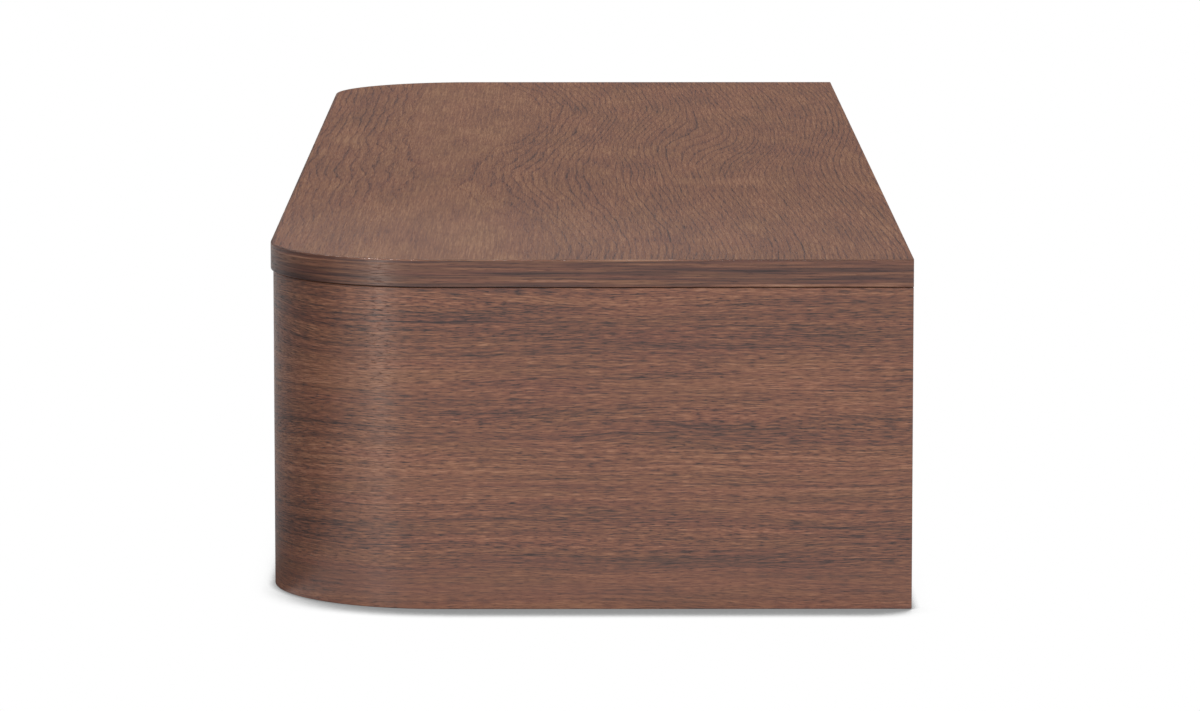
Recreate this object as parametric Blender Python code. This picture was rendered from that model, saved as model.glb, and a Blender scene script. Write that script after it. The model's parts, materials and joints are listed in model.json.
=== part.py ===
"""Floating console table: a wall-hung walnut case with round front corners, a thin top and two drawers.

The origin is the middle of the wall cleat's rear face, on the wall. +X runs along the console to the right
of a person facing it, +Y points into the wall and +Z points up. All lengths are in metres.

Inside this script the case is built from its underside up, so heights start at zero there. One empty, named
console, then lowers everything so that the origin lands on the wall cleat.
"""

import math

import bmesh
import bpy
from mathutils import Matrix, Vector

# Overall sizes
LENGTH = 1.200
DEPTH = 0.375
HEIGHT = 0.204
CORNER_RADIUS = 0.100
SEAT_GAP = 0.0003

# Top: a veneered board with a thin band round its front and both ends
TOP_THICKNESS = 0.016
TOP_OVERHANG = 0.0015
BAND_THICKNESS = 0.0012
BAND_EASE = 0.0006

# Case
SHELL_THICKNESS = 0.018
SHELL_EASE = 0.0005
STILE_WIDTH = 0.0085
BOTTOM_THICKNESS = 0.015
INNER_SIDE_THICKNESS = 0.015
INNER_SIDE_LIP = 0.0005
DIVIDER_THICKNESS = 0.018
RAIL_THICKNESS = 0.015
FRONT_RAIL_WIDTH = 0.060
REAR_RAIL_WIDTH = 0.060
HANGING_RAIL_THICKNESS = 0.018
HANGING_RAIL_HEIGHT = 0.060
BACK_THICKNESS = 0.006
GROOVE_DEPTH = 0.006
PANEL_EASE = 0.0005

# French cleat pair
CLEAT_THICKNESS = 0.018
CLEAT_WALL_SPACE = 0.0017
HANGING_CLEAT_HEIGHT = 0.050
WALL_CLEAT_HEIGHT = 0.050
HANGING_CLEAT_END_SPACE = 0.070
WALL_CLEAT_SIDE_PLAY = 0.050
WALL_HOLE_RADIUS = 0.0028
WALL_HOLE_INSET = 0.070
WALL_HOLE_COUNT = 4

# Drawers
DRAWER_FRONT_THICKNESS = 0.018
DRAWER_REVEAL = 0.002
FRONT_TO_CASE_SPACE = 0.002
BOX_THICKNESS = 0.012
BOX_BOTTOM_THICKNESS = 0.006
BOX_BOTTOM_LIFT = 0.010
BOX_GROOVE_DEPTH = 0.006
BOX_SPACE_BELOW = 0.015
BOX_SPACE_ABOVE = 0.030
BOX_SPACE_BEHIND = 0.004
NOTCH_WIDTH = 0.200
NOTCH_DEPTH = 0.022
NOTCH_RADIUS = 0.012
PULL_GROOVE_RADIUS = 0.009
PULL_GROOVE_DEPTH = 0.006
PULL_GROOVE_HEIGHT = 0.015

# Runners
RUNNER_THICKNESS = 0.0127
RUNNER_HEIGHT = 0.045
RUNNER_SHEET = 0.0012
RUNNER_PLAY = 0.0004
RUNNER_SETBACK = 0.003
RUNNER_LENGTH_STEP = 0.050

# Fixings
SCREW_RADIUS = 0.002
SCREW_HEAD_RADIUS = 0.004
SCREW_HEAD_HEIGHT = 0.0022
SCREW_RIM_HEIGHT = 0.0013
SCREW_CROWN_RADIUS = 0.0028
SCREW_POINT_LENGTH = 0.003
TOP_SCREW_BITE = 0.010
FRONT_SCREW_BITE = 0.011
FRONT_SCREW_INSET = 0.090
FRONT_SCREW_COUNT = 2
CASE_SCREW_BITE = 0.030
CASE_SCREW_INSET = 0.055
CLEAT_SCREW_BITE = 0.014
CLEAT_SCREW_INSET = 0.060
CLEAT_SCREW_COUNT = 4
DOWEL_RADIUS = 0.004
DOWEL_CHAMFER = 0.001
DOWEL_IN_SHELL = 0.012
DOWEL_IN_BOTTOM = 0.018
DOWEL_INSET = 0.060

# How finely round shapes are drawn
CORNER_STEPS = 20
NOTCH_STEPS = 6
FIXING_SIDES = 16
SHARP_ANGLE = math.radians(30)

# Plan of the case
CASE_HALF_LENGTH = LENGTH / 2 - TOP_OVERHANG
CASE_FRONT = -(DEPTH - TOP_OVERHANG)
CORNER_X = CASE_HALF_LENGTH - CORNER_RADIUS
CORNER_Y = CASE_FRONT + CORNER_RADIUS
INNER_HALF_LENGTH = CASE_HALF_LENGTH - SHELL_THICKNESS
INNER_RADIUS = CORNER_RADIUS - SHELL_THICKNESS
OPENING_EDGE = CORNER_X - STILE_WIDTH
INNER_SIDE_FACE = OPENING_EDGE - INNER_SIDE_LIP
DRAWER_BACK_PLANE = CASE_FRONT + DRAWER_FRONT_THICKNESS
CARCASS_FRONT = CASE_FRONT + max(DRAWER_FRONT_THICKNESS, SHELL_THICKNESS) + FRONT_TO_CASE_SPACE
BACK_REAR = -(CLEAT_WALL_SPACE + CLEAT_THICKNESS + SEAT_GAP)
BACK_FRONT = BACK_REAR - BACK_THICKNESS
HANGING_RAIL_REAR = BACK_FRONT - SEAT_GAP
HANGING_RAIL_FRONT = HANGING_RAIL_REAR - HANGING_RAIL_THICKNESS
UPRIGHT_REAR = HANGING_RAIL_FRONT - SEAT_GAP

# Heights, from the underside of the case
TOP_UNDERSIDE = HEIGHT - TOP_THICKNESS
CASE_TOP = TOP_UNDERSIDE - SEAT_GAP
RAIL_UNDERSIDE = CASE_TOP - RAIL_THICKNESS
UPRIGHT_LOW = BOTTOM_THICKNESS + SEAT_GAP
UPRIGHT_HIGH = RAIL_UNDERSIDE - SEAT_GAP

# Cleats: both bevels run at 45 degrees, the wall cleat's a seat gap below the other
HANGING_CLEAT_FRONT = BACK_REAR + SEAT_GAP
HANGING_CLEAT_REAR = HANGING_CLEAT_FRONT + CLEAT_THICKNESS
HANGING_CLEAT_LOW = CASE_TOP - HANGING_CLEAT_HEIGHT
BEVEL_SUM = HANGING_CLEAT_LOW + HANGING_CLEAT_REAR
WALL_CLEAT_BACK_HIGH = BEVEL_SUM - SEAT_GAP * math.sqrt(2)
WALL_CLEAT_LOW = WALL_CLEAT_BACK_HIGH - WALL_CLEAT_HEIGHT
HANGING_CLEAT_HALF = INNER_HALF_LENGTH - HANGING_CLEAT_END_SPACE
WALL_CLEAT_HALF = HANGING_CLEAT_HALF - WALL_CLEAT_SIDE_PLAY
ORIGIN_HEIGHT = (WALL_CLEAT_LOW + WALL_CLEAT_BACK_HIGH) / 2

# Cleat screws: their heads sit in recesses in the hanging cleat, clear of the wall
CLEAT_SCREW_HEAD_SEAT = HANGING_CLEAT_REAR - SCREW_HEAD_HEIGHT - SEAT_GAP
CLEAT_SCREW_TIP = HANGING_RAIL_REAR - CLEAT_SCREW_BITE
CLEAT_SCREW_LINE = (HANGING_CLEAT_LOW + CLEAT_THICKNESS + CASE_TOP) / 2

# Case screws: their heads sit in recesses in the underside
CASE_SCREW_HEAD_SEAT = SCREW_HEAD_HEIGHT + SEAT_GAP
CASE_SCREW_TIP = UPRIGHT_LOW + CASE_SCREW_BITE

# Top screws: their heads bear on the rails from below
TOP_SCREW_HEAD_SEAT = RAIL_UNDERSIDE - SEAT_GAP
TOP_SCREW_TIP = TOP_UNDERSIDE + TOP_SCREW_BITE

# What a screw's shank and head need round them
SCREW_HOLE = SCREW_RADIUS + SEAT_GAP
SCREW_HEAD_HOLE = SCREW_HEAD_RADIUS + SEAT_GAP

# Drawers: each one's own frame starts at the middle of its front's rear face, at underside height
BAY_NEAR = DIVIDER_THICKNESS / 2
BAY_WIDTH = INNER_SIDE_FACE - BAY_NEAR
BAY_MIDDLE = BAY_NEAR + BAY_WIDTH / 2
RUNNER_SPACE = RUNNER_THICKNESS + 2 * SEAT_GAP
BOX_HALF_WIDTH = BAY_WIDTH / 2 - RUNNER_SPACE
BOX_LOW = BOTTOM_THICKNESS + BOX_SPACE_BELOW
BOX_HIGH = RAIL_UNDERSIDE - BOX_SPACE_ABOVE
BOX_FRONT = SEAT_GAP
BOX_REAR = UPRIGHT_REAR - BOX_SPACE_BEHIND - DRAWER_BACK_PLANE
FRONT_LEFT_END = DRAWER_REVEAL / 2 - BAY_MIDDLE
FRONT_RIGHT_END = OPENING_EDGE - DRAWER_REVEAL - BAY_MIDDLE
FRONT_HIGH = CASE_TOP - DRAWER_REVEAL

# Runners: the longest stock length that fits behind the drawer front
RUNNER_FRONT = CARCASS_FRONT + RUNNER_SETBACK
RUNNER_ROOM = UPRIGHT_REAR - RUNNER_FRONT
RUNNER_LENGTH = math.floor(RUNNER_ROOM / RUNNER_LENGTH_STEP) * RUNNER_LENGTH_STEP
RUNNER_MIDDLE_HEIGHT = (BOX_LOW + BOX_HIGH) / 2

# Turns that point a fixing's own +Z, from tip to head, along the named direction
HEAD_DOWN = (math.pi, 0.0, 0.0)
HEAD_TO_WALL = (-math.pi / 2, 0.0, 0.0)
HEAD_TO_RIGHT = (0.0, math.pi / 2, 0.0)


def clear_scene():
    """Removes the start-up objects."""
    for old in list(bpy.data.objects):
        bpy.data.objects.remove(old, do_unlink=True)


def make_material(name, colour, roughness, metallic=0.0):
    """Makes a plain material."""
    material = bpy.data.materials.new(name)
    material.use_nodes = True
    shader = material.node_tree.nodes["Principled BSDF"]
    shader.inputs["Base Color"].default_value = (*colour, 1.0)
    shader.inputs["Roughness"].default_value = roughness
    shader.inputs["Metallic"].default_value = metallic
    return material


def add_empty(name, parent=None, location=(0.0, 0.0, 0.0)):
    """Adds an empty that carries other pieces."""
    empty = bpy.data.objects.new(name, None)
    bpy.context.scene.collection.objects.link(empty)
    empty.parent = parent
    empty.location = location
    return empty


def add_piece(name, shape, material, parent, location=(0.0, 0.0, 0.0), rotation=(0.0, 0.0, 0.0)):
    """Turns a bmesh into a named object."""
    bmesh.ops.recalc_face_normals(shape, faces=shape.faces)
    mesh = bpy.data.meshes.new(name)
    shape.to_mesh(mesh)
    shape.free()
    mesh.materials.append(material)
    piece = bpy.data.objects.new(name, mesh)
    bpy.context.scene.collection.objects.link(piece)
    piece.parent = parent
    piece.location = location
    piece.rotation_euler = rotation
    return piece


def cut(piece, name, shape):
    """Takes a hidden cutter out of a piece that stands at its parent's origin."""
    cutter = add_piece(name, shape, CUTTER, piece.parent)
    cutter.hide_render = True
    cutter.display_type = "WIRE"
    modifier = piece.modifiers.new(name, "BOOLEAN")
    modifier.operation = "DIFFERENCE"
    modifier.object = cutter


def lay(axis, u, v, w):
    """Puts a flat point (u, v) in space, with w measured along the named axis."""
    if axis == "X":
        return (w, u, v)
    if axis == "Y":
        return (u, w, v)
    return (u, v, w)


def prism(outline, axis, low, high):
    """Extrudes a flat outline along an axis."""
    shape = bmesh.new()
    corners = [shape.verts.new(lay(axis, u, v, low)) for u, v in outline]
    face = shape.faces.new(corners)
    grown = bmesh.ops.extrude_face_region(shape, geom=[face])
    moved = [item for item in grown["geom"] if isinstance(item, bmesh.types.BMVert)]
    bmesh.ops.translate(shape, vec=Vector(lay(axis, 0.0, 0.0, high - low)), verts=moved)
    return shape


def block(low, high):
    """Makes a box from its low corner to its high corner."""
    outline = [(low[0], low[1]), (high[0], low[1]), (high[0], high[1]), (low[0], high[1])]
    return prism(outline, "Z", low[2], high[2])


def ease(shape, width):
    """Chamfers the sharp edges of a shape."""
    bmesh.ops.recalc_face_normals(shape, faces=shape.faces)
    sharp = [edge for edge in shape.edges if edge.calc_face_angle() > SHARP_ANGLE]
    bmesh.ops.bevel(
        shape,
        geom=sharp,
        offset=width,
        offset_type="OFFSET",
        affect="EDGES",
        segments=1,
        profile=0.5,
        material=-1,
        clamp_overlap=True,
    )
    return shape


def arc(centre, radius, start, end, steps):
    """Lists points on an arc, both ends included, with angles in radians."""
    points = []
    for step in range(steps + 1):
        angle = start + (end - start) * step / steps
        points.append((centre[0] + radius * math.cos(angle), centre[1] + radius * math.sin(angle)))
    return points


def mirrored(points):
    """Mirrors an outline left to right and keeps its direction round."""
    return [(-x, y) for x, y in reversed(points)]


def right_half(radius, rear, front):
    """Lists the right-hand side of a plan outline that is concentric with the case corner.

    It runs from the rear to the front: down the straight end first, then round the corner as far as front.
    """
    if front >= CORNER_Y:
        return [(CORNER_X + radius, rear), (CORNER_X + radius, front)]
    points = []
    if rear > CORNER_Y:
        points.append((CORNER_X + radius, rear))
    start = math.asin(min(max((CORNER_Y - rear) / radius, 0.0), 1.0))
    end = math.asin(min((CORNER_Y - front) / radius, 1.0))
    return points + arc((CORNER_X, CORNER_Y), radius, -start, -end, CORNER_STEPS)


def full_outline(radius, rear, front):
    """Closes the right half with its mirror image."""
    right = right_half(radius, rear, front)
    return right + mirrored(right)


def drill(places, axis, radius, low, high):
    """Makes a set of round cutters along an axis."""
    holes = bmesh.new()
    turn = Matrix.Identity(4)
    if axis == "X":
        turn = Matrix.Rotation(math.pi / 2, 4, "Y")
    if axis == "Y":
        turn = Matrix.Rotation(math.pi / 2, 4, "X")
    for u, v in places:
        middle = Matrix.Translation(Vector(lay(axis, u, v, (low + high) / 2)))
        bmesh.ops.create_cone(
            holes,
            cap_ends=True,
            segments=FIXING_SIDES,
            radius1=radius,
            radius2=radius,
            depth=high - low,
            matrix=middle @ turn,
        )
    return holes


def turned(profile):
    """Spins a list of (radius, height) points round Z into a closed body."""
    shape = bmesh.new()
    points = [shape.verts.new((radius, 0.0, height)) for radius, height in profile]
    edges = [shape.edges.new(pair) for pair in zip(points, points[1:])]
    bmesh.ops.spin(
        shape,
        geom=points + edges,
        cent=(0.0, 0.0, 0.0),
        axis=(0.0, 0.0, 1.0),
        angle=2 * math.pi,
        steps=FIXING_SIDES,
        use_merge=True,
    )
    bmesh.ops.remove_doubles(shape, verts=shape.verts, dist=1e-6)
    return shape


def screw(name, length, parent, location, rotation):
    """Adds a screw whose head's underside is at its origin and whose head points along its own +Z."""
    profile = [
        (0.0, -length),
        (SCREW_RADIUS, -length + SCREW_POINT_LENGTH),
        (SCREW_RADIUS, 0.0),
        (SCREW_HEAD_RADIUS, 0.0),
        (SCREW_HEAD_RADIUS, SCREW_RIM_HEIGHT),
        (SCREW_CROWN_RADIUS, SCREW_HEAD_HEIGHT),
        (0.0, SCREW_HEAD_HEIGHT),
    ]
    return add_piece(name, turned(profile), SCREW_STEEL, parent, location, rotation)


def dowel(name, parent, location):
    """Adds a chamfered dowel that lies along X, with its middle at its origin."""
    half = (DOWEL_IN_SHELL + DOWEL_IN_BOTTOM) / 2
    profile = [
        (0.0, -half),
        (DOWEL_RADIUS - DOWEL_CHAMFER, -half),
        (DOWEL_RADIUS, -half + DOWEL_CHAMFER),
        (DOWEL_RADIUS, half - DOWEL_CHAMFER),
        (DOWEL_RADIUS - DOWEL_CHAMFER, half),
        (0.0, half),
    ]
    return add_piece(name, turned(profile), BEECH, parent, location, HEAD_TO_RIGHT)


def spread(half, inset, count):
    """Spaces a number of places evenly between two insets."""
    reach = half - inset
    return [-reach + 2 * reach * index / (count - 1) for index in range(count)]


def build_top(console):
    """Adds the top board and its edge band."""
    core_inset = BAND_THICKNESS + SEAT_GAP
    outer_radius = CORNER_RADIUS + TOP_OVERHANG
    core_radius = outer_radius - core_inset
    outline = full_outline(core_radius, 0.0, CORNER_Y - core_radius)
    board = add_piece("top_panel", prism(outline, "Z", TOP_UNDERSIDE, HEIGHT), WALNUT, console)
    pilots = drill(top_screw_places(), "Z", SCREW_HOLE, CASE_TOP, TOP_SCREW_TIP + SEAT_GAP)
    cut(board, "top_panel_pilots", pilots)

    inner_radius = core_radius + SEAT_GAP
    outer = full_outline(outer_radius, 0.0, CORNER_Y - outer_radius)
    shape = ease(prism(outer, "Z", TOP_UNDERSIDE, HEIGHT), BAND_EASE)
    band = add_piece("top_edge_band", shape, WALNUT_EDGE, console)
    inner = full_outline(inner_radius, TOP_THICKNESS, CORNER_Y - inner_radius)
    hollow = prism(inner, "Z", TOP_UNDERSIDE - TOP_THICKNESS, HEIGHT + TOP_THICKNESS)
    cut(band, "top_edge_band_hollow", hollow)


def top_screw_places():
    """Lists where the top screws stand: one front and one rear over each drawer."""
    front = CARCASS_FRONT + FRONT_RAIL_WIDTH / 2
    rear = UPRIGHT_REAR - REAR_RAIL_WIDTH / 2
    return [(side * BAY_MIDDLE, depth) for depth in (front, rear) for side in (-1, 1)]


def dowel_depths():
    """Lists how far the case dowels stand from the wall, on the straight part of the ends."""
    return [-DOWEL_INSET, CORNER_Y + DOWEL_INSET]


def build_shells(console):
    """Adds the two bent ends, with grooves for the back and holes for the dowels."""
    outer = right_half(CORNER_RADIUS, 0.0, CASE_FRONT)
    stile_end = [(OPENING_EDGE, CASE_FRONT), (OPENING_EDGE, CASE_FRONT + SHELL_THICKNESS)]
    inner_front = right_half(INNER_RADIUS, 0.0, CASE_FRONT + SHELL_THICKNESS)
    right = outer + stile_end + inner_front[::-1]
    for side, name in ((-1, "left"), (1, "right")):
        outline = right if side > 0 else mirrored(right)
        shape = ease(prism(outline, "Z", 0.0, CASE_TOP), SHELL_EASE)
        shell = add_piece(f"end_shell_{name}", shape, WALNUT, console)
        groove_end = INNER_HALF_LENGTH + GROOVE_DEPTH
        span = sorted((side * (INNER_HALF_LENGTH - GROOVE_DEPTH), side * groove_end))
        low = (span[0], BACK_FRONT - SEAT_GAP, BOTTOM_THICKNESS - GROOVE_DEPTH)
        high = (span[1], BACK_REAR + SEAT_GAP, HEIGHT)
        cut(shell, f"end_shell_{name}_groove", block(low, high))
        places = [(depth, BOTTOM_THICKNESS / 2) for depth in dowel_depths()]
        near = side * (INNER_HALF_LENGTH - GROOVE_DEPTH)
        far = side * (INNER_HALF_LENGTH + DOWEL_IN_SHELL + SEAT_GAP)
        holes = drill(places, "X", DOWEL_RADIUS + SEAT_GAP, min(near, far), max(near, far))
        cut(shell, f"end_shell_{name}_dowel_holes", holes)


def notch(middle):
    """Lists one finger notch in the bottom's front edge, from right to left."""
    half = NOTCH_WIDTH / 2
    radius = min(NOTCH_RADIUS, NOTCH_DEPTH)
    rear = CARCASS_FRONT + NOTCH_DEPTH
    right = arc((middle + half - radius, rear - radius), radius, 0.0, math.pi / 2, NOTCH_STEPS)
    left = arc((middle - half + radius, rear - radius), radius, math.pi / 2, math.pi, NOTCH_STEPS)
    return [(middle + half, CARCASS_FRONT)] + right + left + [(middle - half, CARCASS_FRONT)]


def case_screw_places():
    """Lists where the screws from below enter the two inner sides and the divider."""
    beside = INNER_SIDE_FACE + INNER_SIDE_THICKNESS / 2
    depths = (CARCASS_FRONT + CASE_SCREW_INSET, UPRIGHT_REAR - CASE_SCREW_INSET)
    return {
        "left": [(-beside, depth) for depth in depths],
        "middle": [(0.0, depth) for depth in depths],
        "right": [(beside, depth) for depth in depths],
    }


def build_bottom(console):
    """Adds the bottom panel with its notches, groove, dowel holes and screw holes."""
    right = right_half(INNER_RADIUS - SEAT_GAP, 0.0, CARCASS_FRONT)
    outline = right + notch(BAY_MIDDLE) + notch(-BAY_MIDDLE) + mirrored(right)
    shape = ease(prism(outline, "Z", 0.0, BOTTOM_THICKNESS), PANEL_EASE)
    bottom = add_piece("bottom_panel", shape, WALNUT_PANEL, console)
    low = (-CASE_HALF_LENGTH, BACK_FRONT - SEAT_GAP, BOTTOM_THICKNESS - GROOVE_DEPTH)
    high = (CASE_HALF_LENGTH, BACK_REAR + SEAT_GAP, BOTTOM_THICKNESS + GROOVE_DEPTH)
    cut(bottom, "bottom_panel_groove", block(low, high))
    reach = DOWEL_IN_BOTTOM + SEAT_GAP
    places = [(depth, BOTTOM_THICKNESS / 2) for depth in dowel_depths()]
    for side, name in ((-1, "left"), (1, "right")):
        span = sorted((side * (INNER_HALF_LENGTH - reach), side * (INNER_HALF_LENGTH + reach)))
        holes = drill(places, "X", DOWEL_RADIUS + SEAT_GAP, span[0], span[1])
        cut(bottom, f"bottom_panel_dowel_holes_{name}", holes)
    screws = sum(case_screw_places().values(), [])
    through = drill(screws, "Z", SCREW_HOLE, 0.0, 2 * BOTTOM_THICKNESS)
    cut(bottom, "bottom_panel_screw_holes", through)
    seat = CASE_SCREW_HEAD_SEAT + SEAT_GAP
    recesses = drill(screws, "Z", SCREW_HEAD_HOLE, -seat, seat)
    cut(bottom, "bottom_panel_head_recesses", recesses)


def build_uprights(console):
    """Adds the inner sides and the divider, drilled for the screws from below."""
    half = DIVIDER_THICKNESS / 2
    outer_face = INNER_SIDE_FACE + INNER_SIDE_THICKNESS
    spans = {
        "left": ("inner_side_left", -outer_face, -INNER_SIDE_FACE),
        "middle": ("centre_divider", -half, half),
        "right": ("inner_side_right", INNER_SIDE_FACE, outer_face),
    }
    for key, (name, low, high) in spans.items():
        shape = block((low, CARCASS_FRONT, UPRIGHT_LOW), (high, UPRIGHT_REAR, UPRIGHT_HIGH))
        upright = add_piece(name, ease(shape, PANEL_EASE), PLYWOOD, console)
        pilots = drill(case_screw_places()[key], "Z", SCREW_HOLE, 0.0, CASE_SCREW_TIP + SEAT_GAP)
        cut(upright, f"{name}_pilots", pilots)


def build_rails(console):
    """Adds the two flat top rails and the upright hanging rail."""
    radius = INNER_RADIUS - SEAT_GAP
    places = top_screw_places()
    front = full_outline(radius, CARCASS_FRONT + FRONT_RAIL_WIDTH, CARCASS_FRONT)
    shape = ease(prism(front, "Z", RAIL_UNDERSIDE, CASE_TOP), PANEL_EASE)
    front_rail = add_piece("front_rail", shape, PLYWOOD, console)
    rear = full_outline(radius, UPRIGHT_REAR, UPRIGHT_REAR - REAR_RAIL_WIDTH)
    shape = ease(prism(rear, "Z", RAIL_UNDERSIDE, CASE_TOP), PANEL_EASE)
    rear_rail = add_piece("rear_rail", shape, PLYWOOD, console)
    for rail, used in ((front_rail, places[:2]), (rear_rail, places[2:])):
        cut(rail, f"{rail.name}_holes", drill(used, "Z", SCREW_HOLE, UPRIGHT_LOW, HEIGHT))

    half = INNER_HALF_LENGTH - SEAT_GAP
    low = (-half, HANGING_RAIL_FRONT, CASE_TOP - HANGING_RAIL_HEIGHT)
    shape = block(low, (half, HANGING_RAIL_REAR, CASE_TOP))
    hanging_rail = add_piece("hanging_rail", ease(shape, PANEL_EASE), PLYWOOD, console)
    pilots = drill(cleat_screw_places(), "Y", SCREW_HOLE, CLEAT_SCREW_TIP - SEAT_GAP, 0.0)
    cut(hanging_rail, "hanging_rail_pilots", pilots)


def build_back(console):
    """Adds the back panel, which stands in the grooves of the ends and the bottom."""
    half = INNER_HALF_LENGTH + GROOVE_DEPTH - SEAT_GAP
    low = (-half, BACK_FRONT, BOTTOM_THICKNESS - GROOVE_DEPTH + SEAT_GAP)
    back = add_piece("back_panel", block(low, (half, BACK_REAR, CASE_TOP)), PLYWOOD, console)
    holes = drill(cleat_screw_places(), "Y", SCREW_HOLE, HANGING_RAIL_FRONT, 0.0)
    cut(back, "back_panel_holes", holes)


def cleat_screw_places():
    """Lists where the cleat screws stand along the hanging cleat."""
    return [(x, CLEAT_SCREW_LINE) for x in spread(HANGING_CLEAT_HALF, CLEAT_SCREW_INSET, CLEAT_SCREW_COUNT)]


def build_cleats(console):
    """Adds the hanging cleat on the case and the wall cleat under it."""
    hanging = [
        (HANGING_CLEAT_FRONT, BEVEL_SUM - HANGING_CLEAT_FRONT),
        (HANGING_CLEAT_REAR, HANGING_CLEAT_LOW),
        (HANGING_CLEAT_REAR, CASE_TOP),
        (HANGING_CLEAT_FRONT, CASE_TOP),
    ]
    shape = ease(prism(hanging, "X", -HANGING_CLEAT_HALF, HANGING_CLEAT_HALF), PANEL_EASE)
    cleat = add_piece("hanging_cleat", shape, PLYWOOD, console)
    through = drill(cleat_screw_places(), "Y", SCREW_HOLE, BACK_FRONT, 0.0)
    cut(cleat, "hanging_cleat_holes", through)
    seat = CLEAT_SCREW_HEAD_SEAT - SEAT_GAP
    recesses = drill(cleat_screw_places(), "Y", SCREW_HEAD_HOLE, seat, SCREW_HEAD_HEIGHT)
    cut(cleat, "hanging_cleat_recesses", recesses)

    wall = [
        (-CLEAT_THICKNESS, WALL_CLEAT_LOW),
        (0.0, WALL_CLEAT_LOW),
        (0.0, WALL_CLEAT_BACK_HIGH),
        (-CLEAT_THICKNESS, WALL_CLEAT_BACK_HIGH + CLEAT_THICKNESS),
    ]
    shape = ease(prism(wall, "X", -WALL_CLEAT_HALF, WALL_CLEAT_HALF), PANEL_EASE)
    wall_cleat = add_piece("wall_cleat", shape, PLYWOOD, console)
    places = [(x, ORIGIN_HEIGHT) for x in spread(WALL_CLEAT_HALF, WALL_HOLE_INSET, WALL_HOLE_COUNT)]
    through = drill(places, "Y", WALL_HOLE_RADIUS, BACK_REAR, -BACK_REAR)
    cut(wall_cleat, "wall_cleat_holes", through)


def build_fixings(console):
    """Adds the screws and dowels that hold the case together."""
    length = TOP_SCREW_TIP - TOP_SCREW_HEAD_SEAT
    for index, (x, y) in enumerate(top_screw_places(), 1):
        screw(f"top_screw_{index}", length, console, (x, y, TOP_SCREW_HEAD_SEAT), HEAD_DOWN)
    length = CASE_SCREW_TIP - CASE_SCREW_HEAD_SEAT
    for index, (x, y) in enumerate(sum(case_screw_places().values(), []), 1):
        screw(f"case_screw_{index}", length, console, (x, y, CASE_SCREW_HEAD_SEAT), HEAD_DOWN)
    length = CLEAT_SCREW_HEAD_SEAT - CLEAT_SCREW_TIP
    for index, (x, z) in enumerate(cleat_screw_places(), 1):
        screw(f"cleat_screw_{index}", length, console, (x, CLEAT_SCREW_HEAD_SEAT, z), HEAD_TO_WALL)
    middle = INNER_HALF_LENGTH + (DOWEL_IN_SHELL - DOWEL_IN_BOTTOM) / 2
    for side, name in ((-1, "left"), (1, "right")):
        for index, depth in enumerate(dowel_depths(), 1):
            dowel(f"case_dowel_{name}_{index}", console, (side * middle, depth, BOTTOM_THICKNESS / 2))


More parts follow.
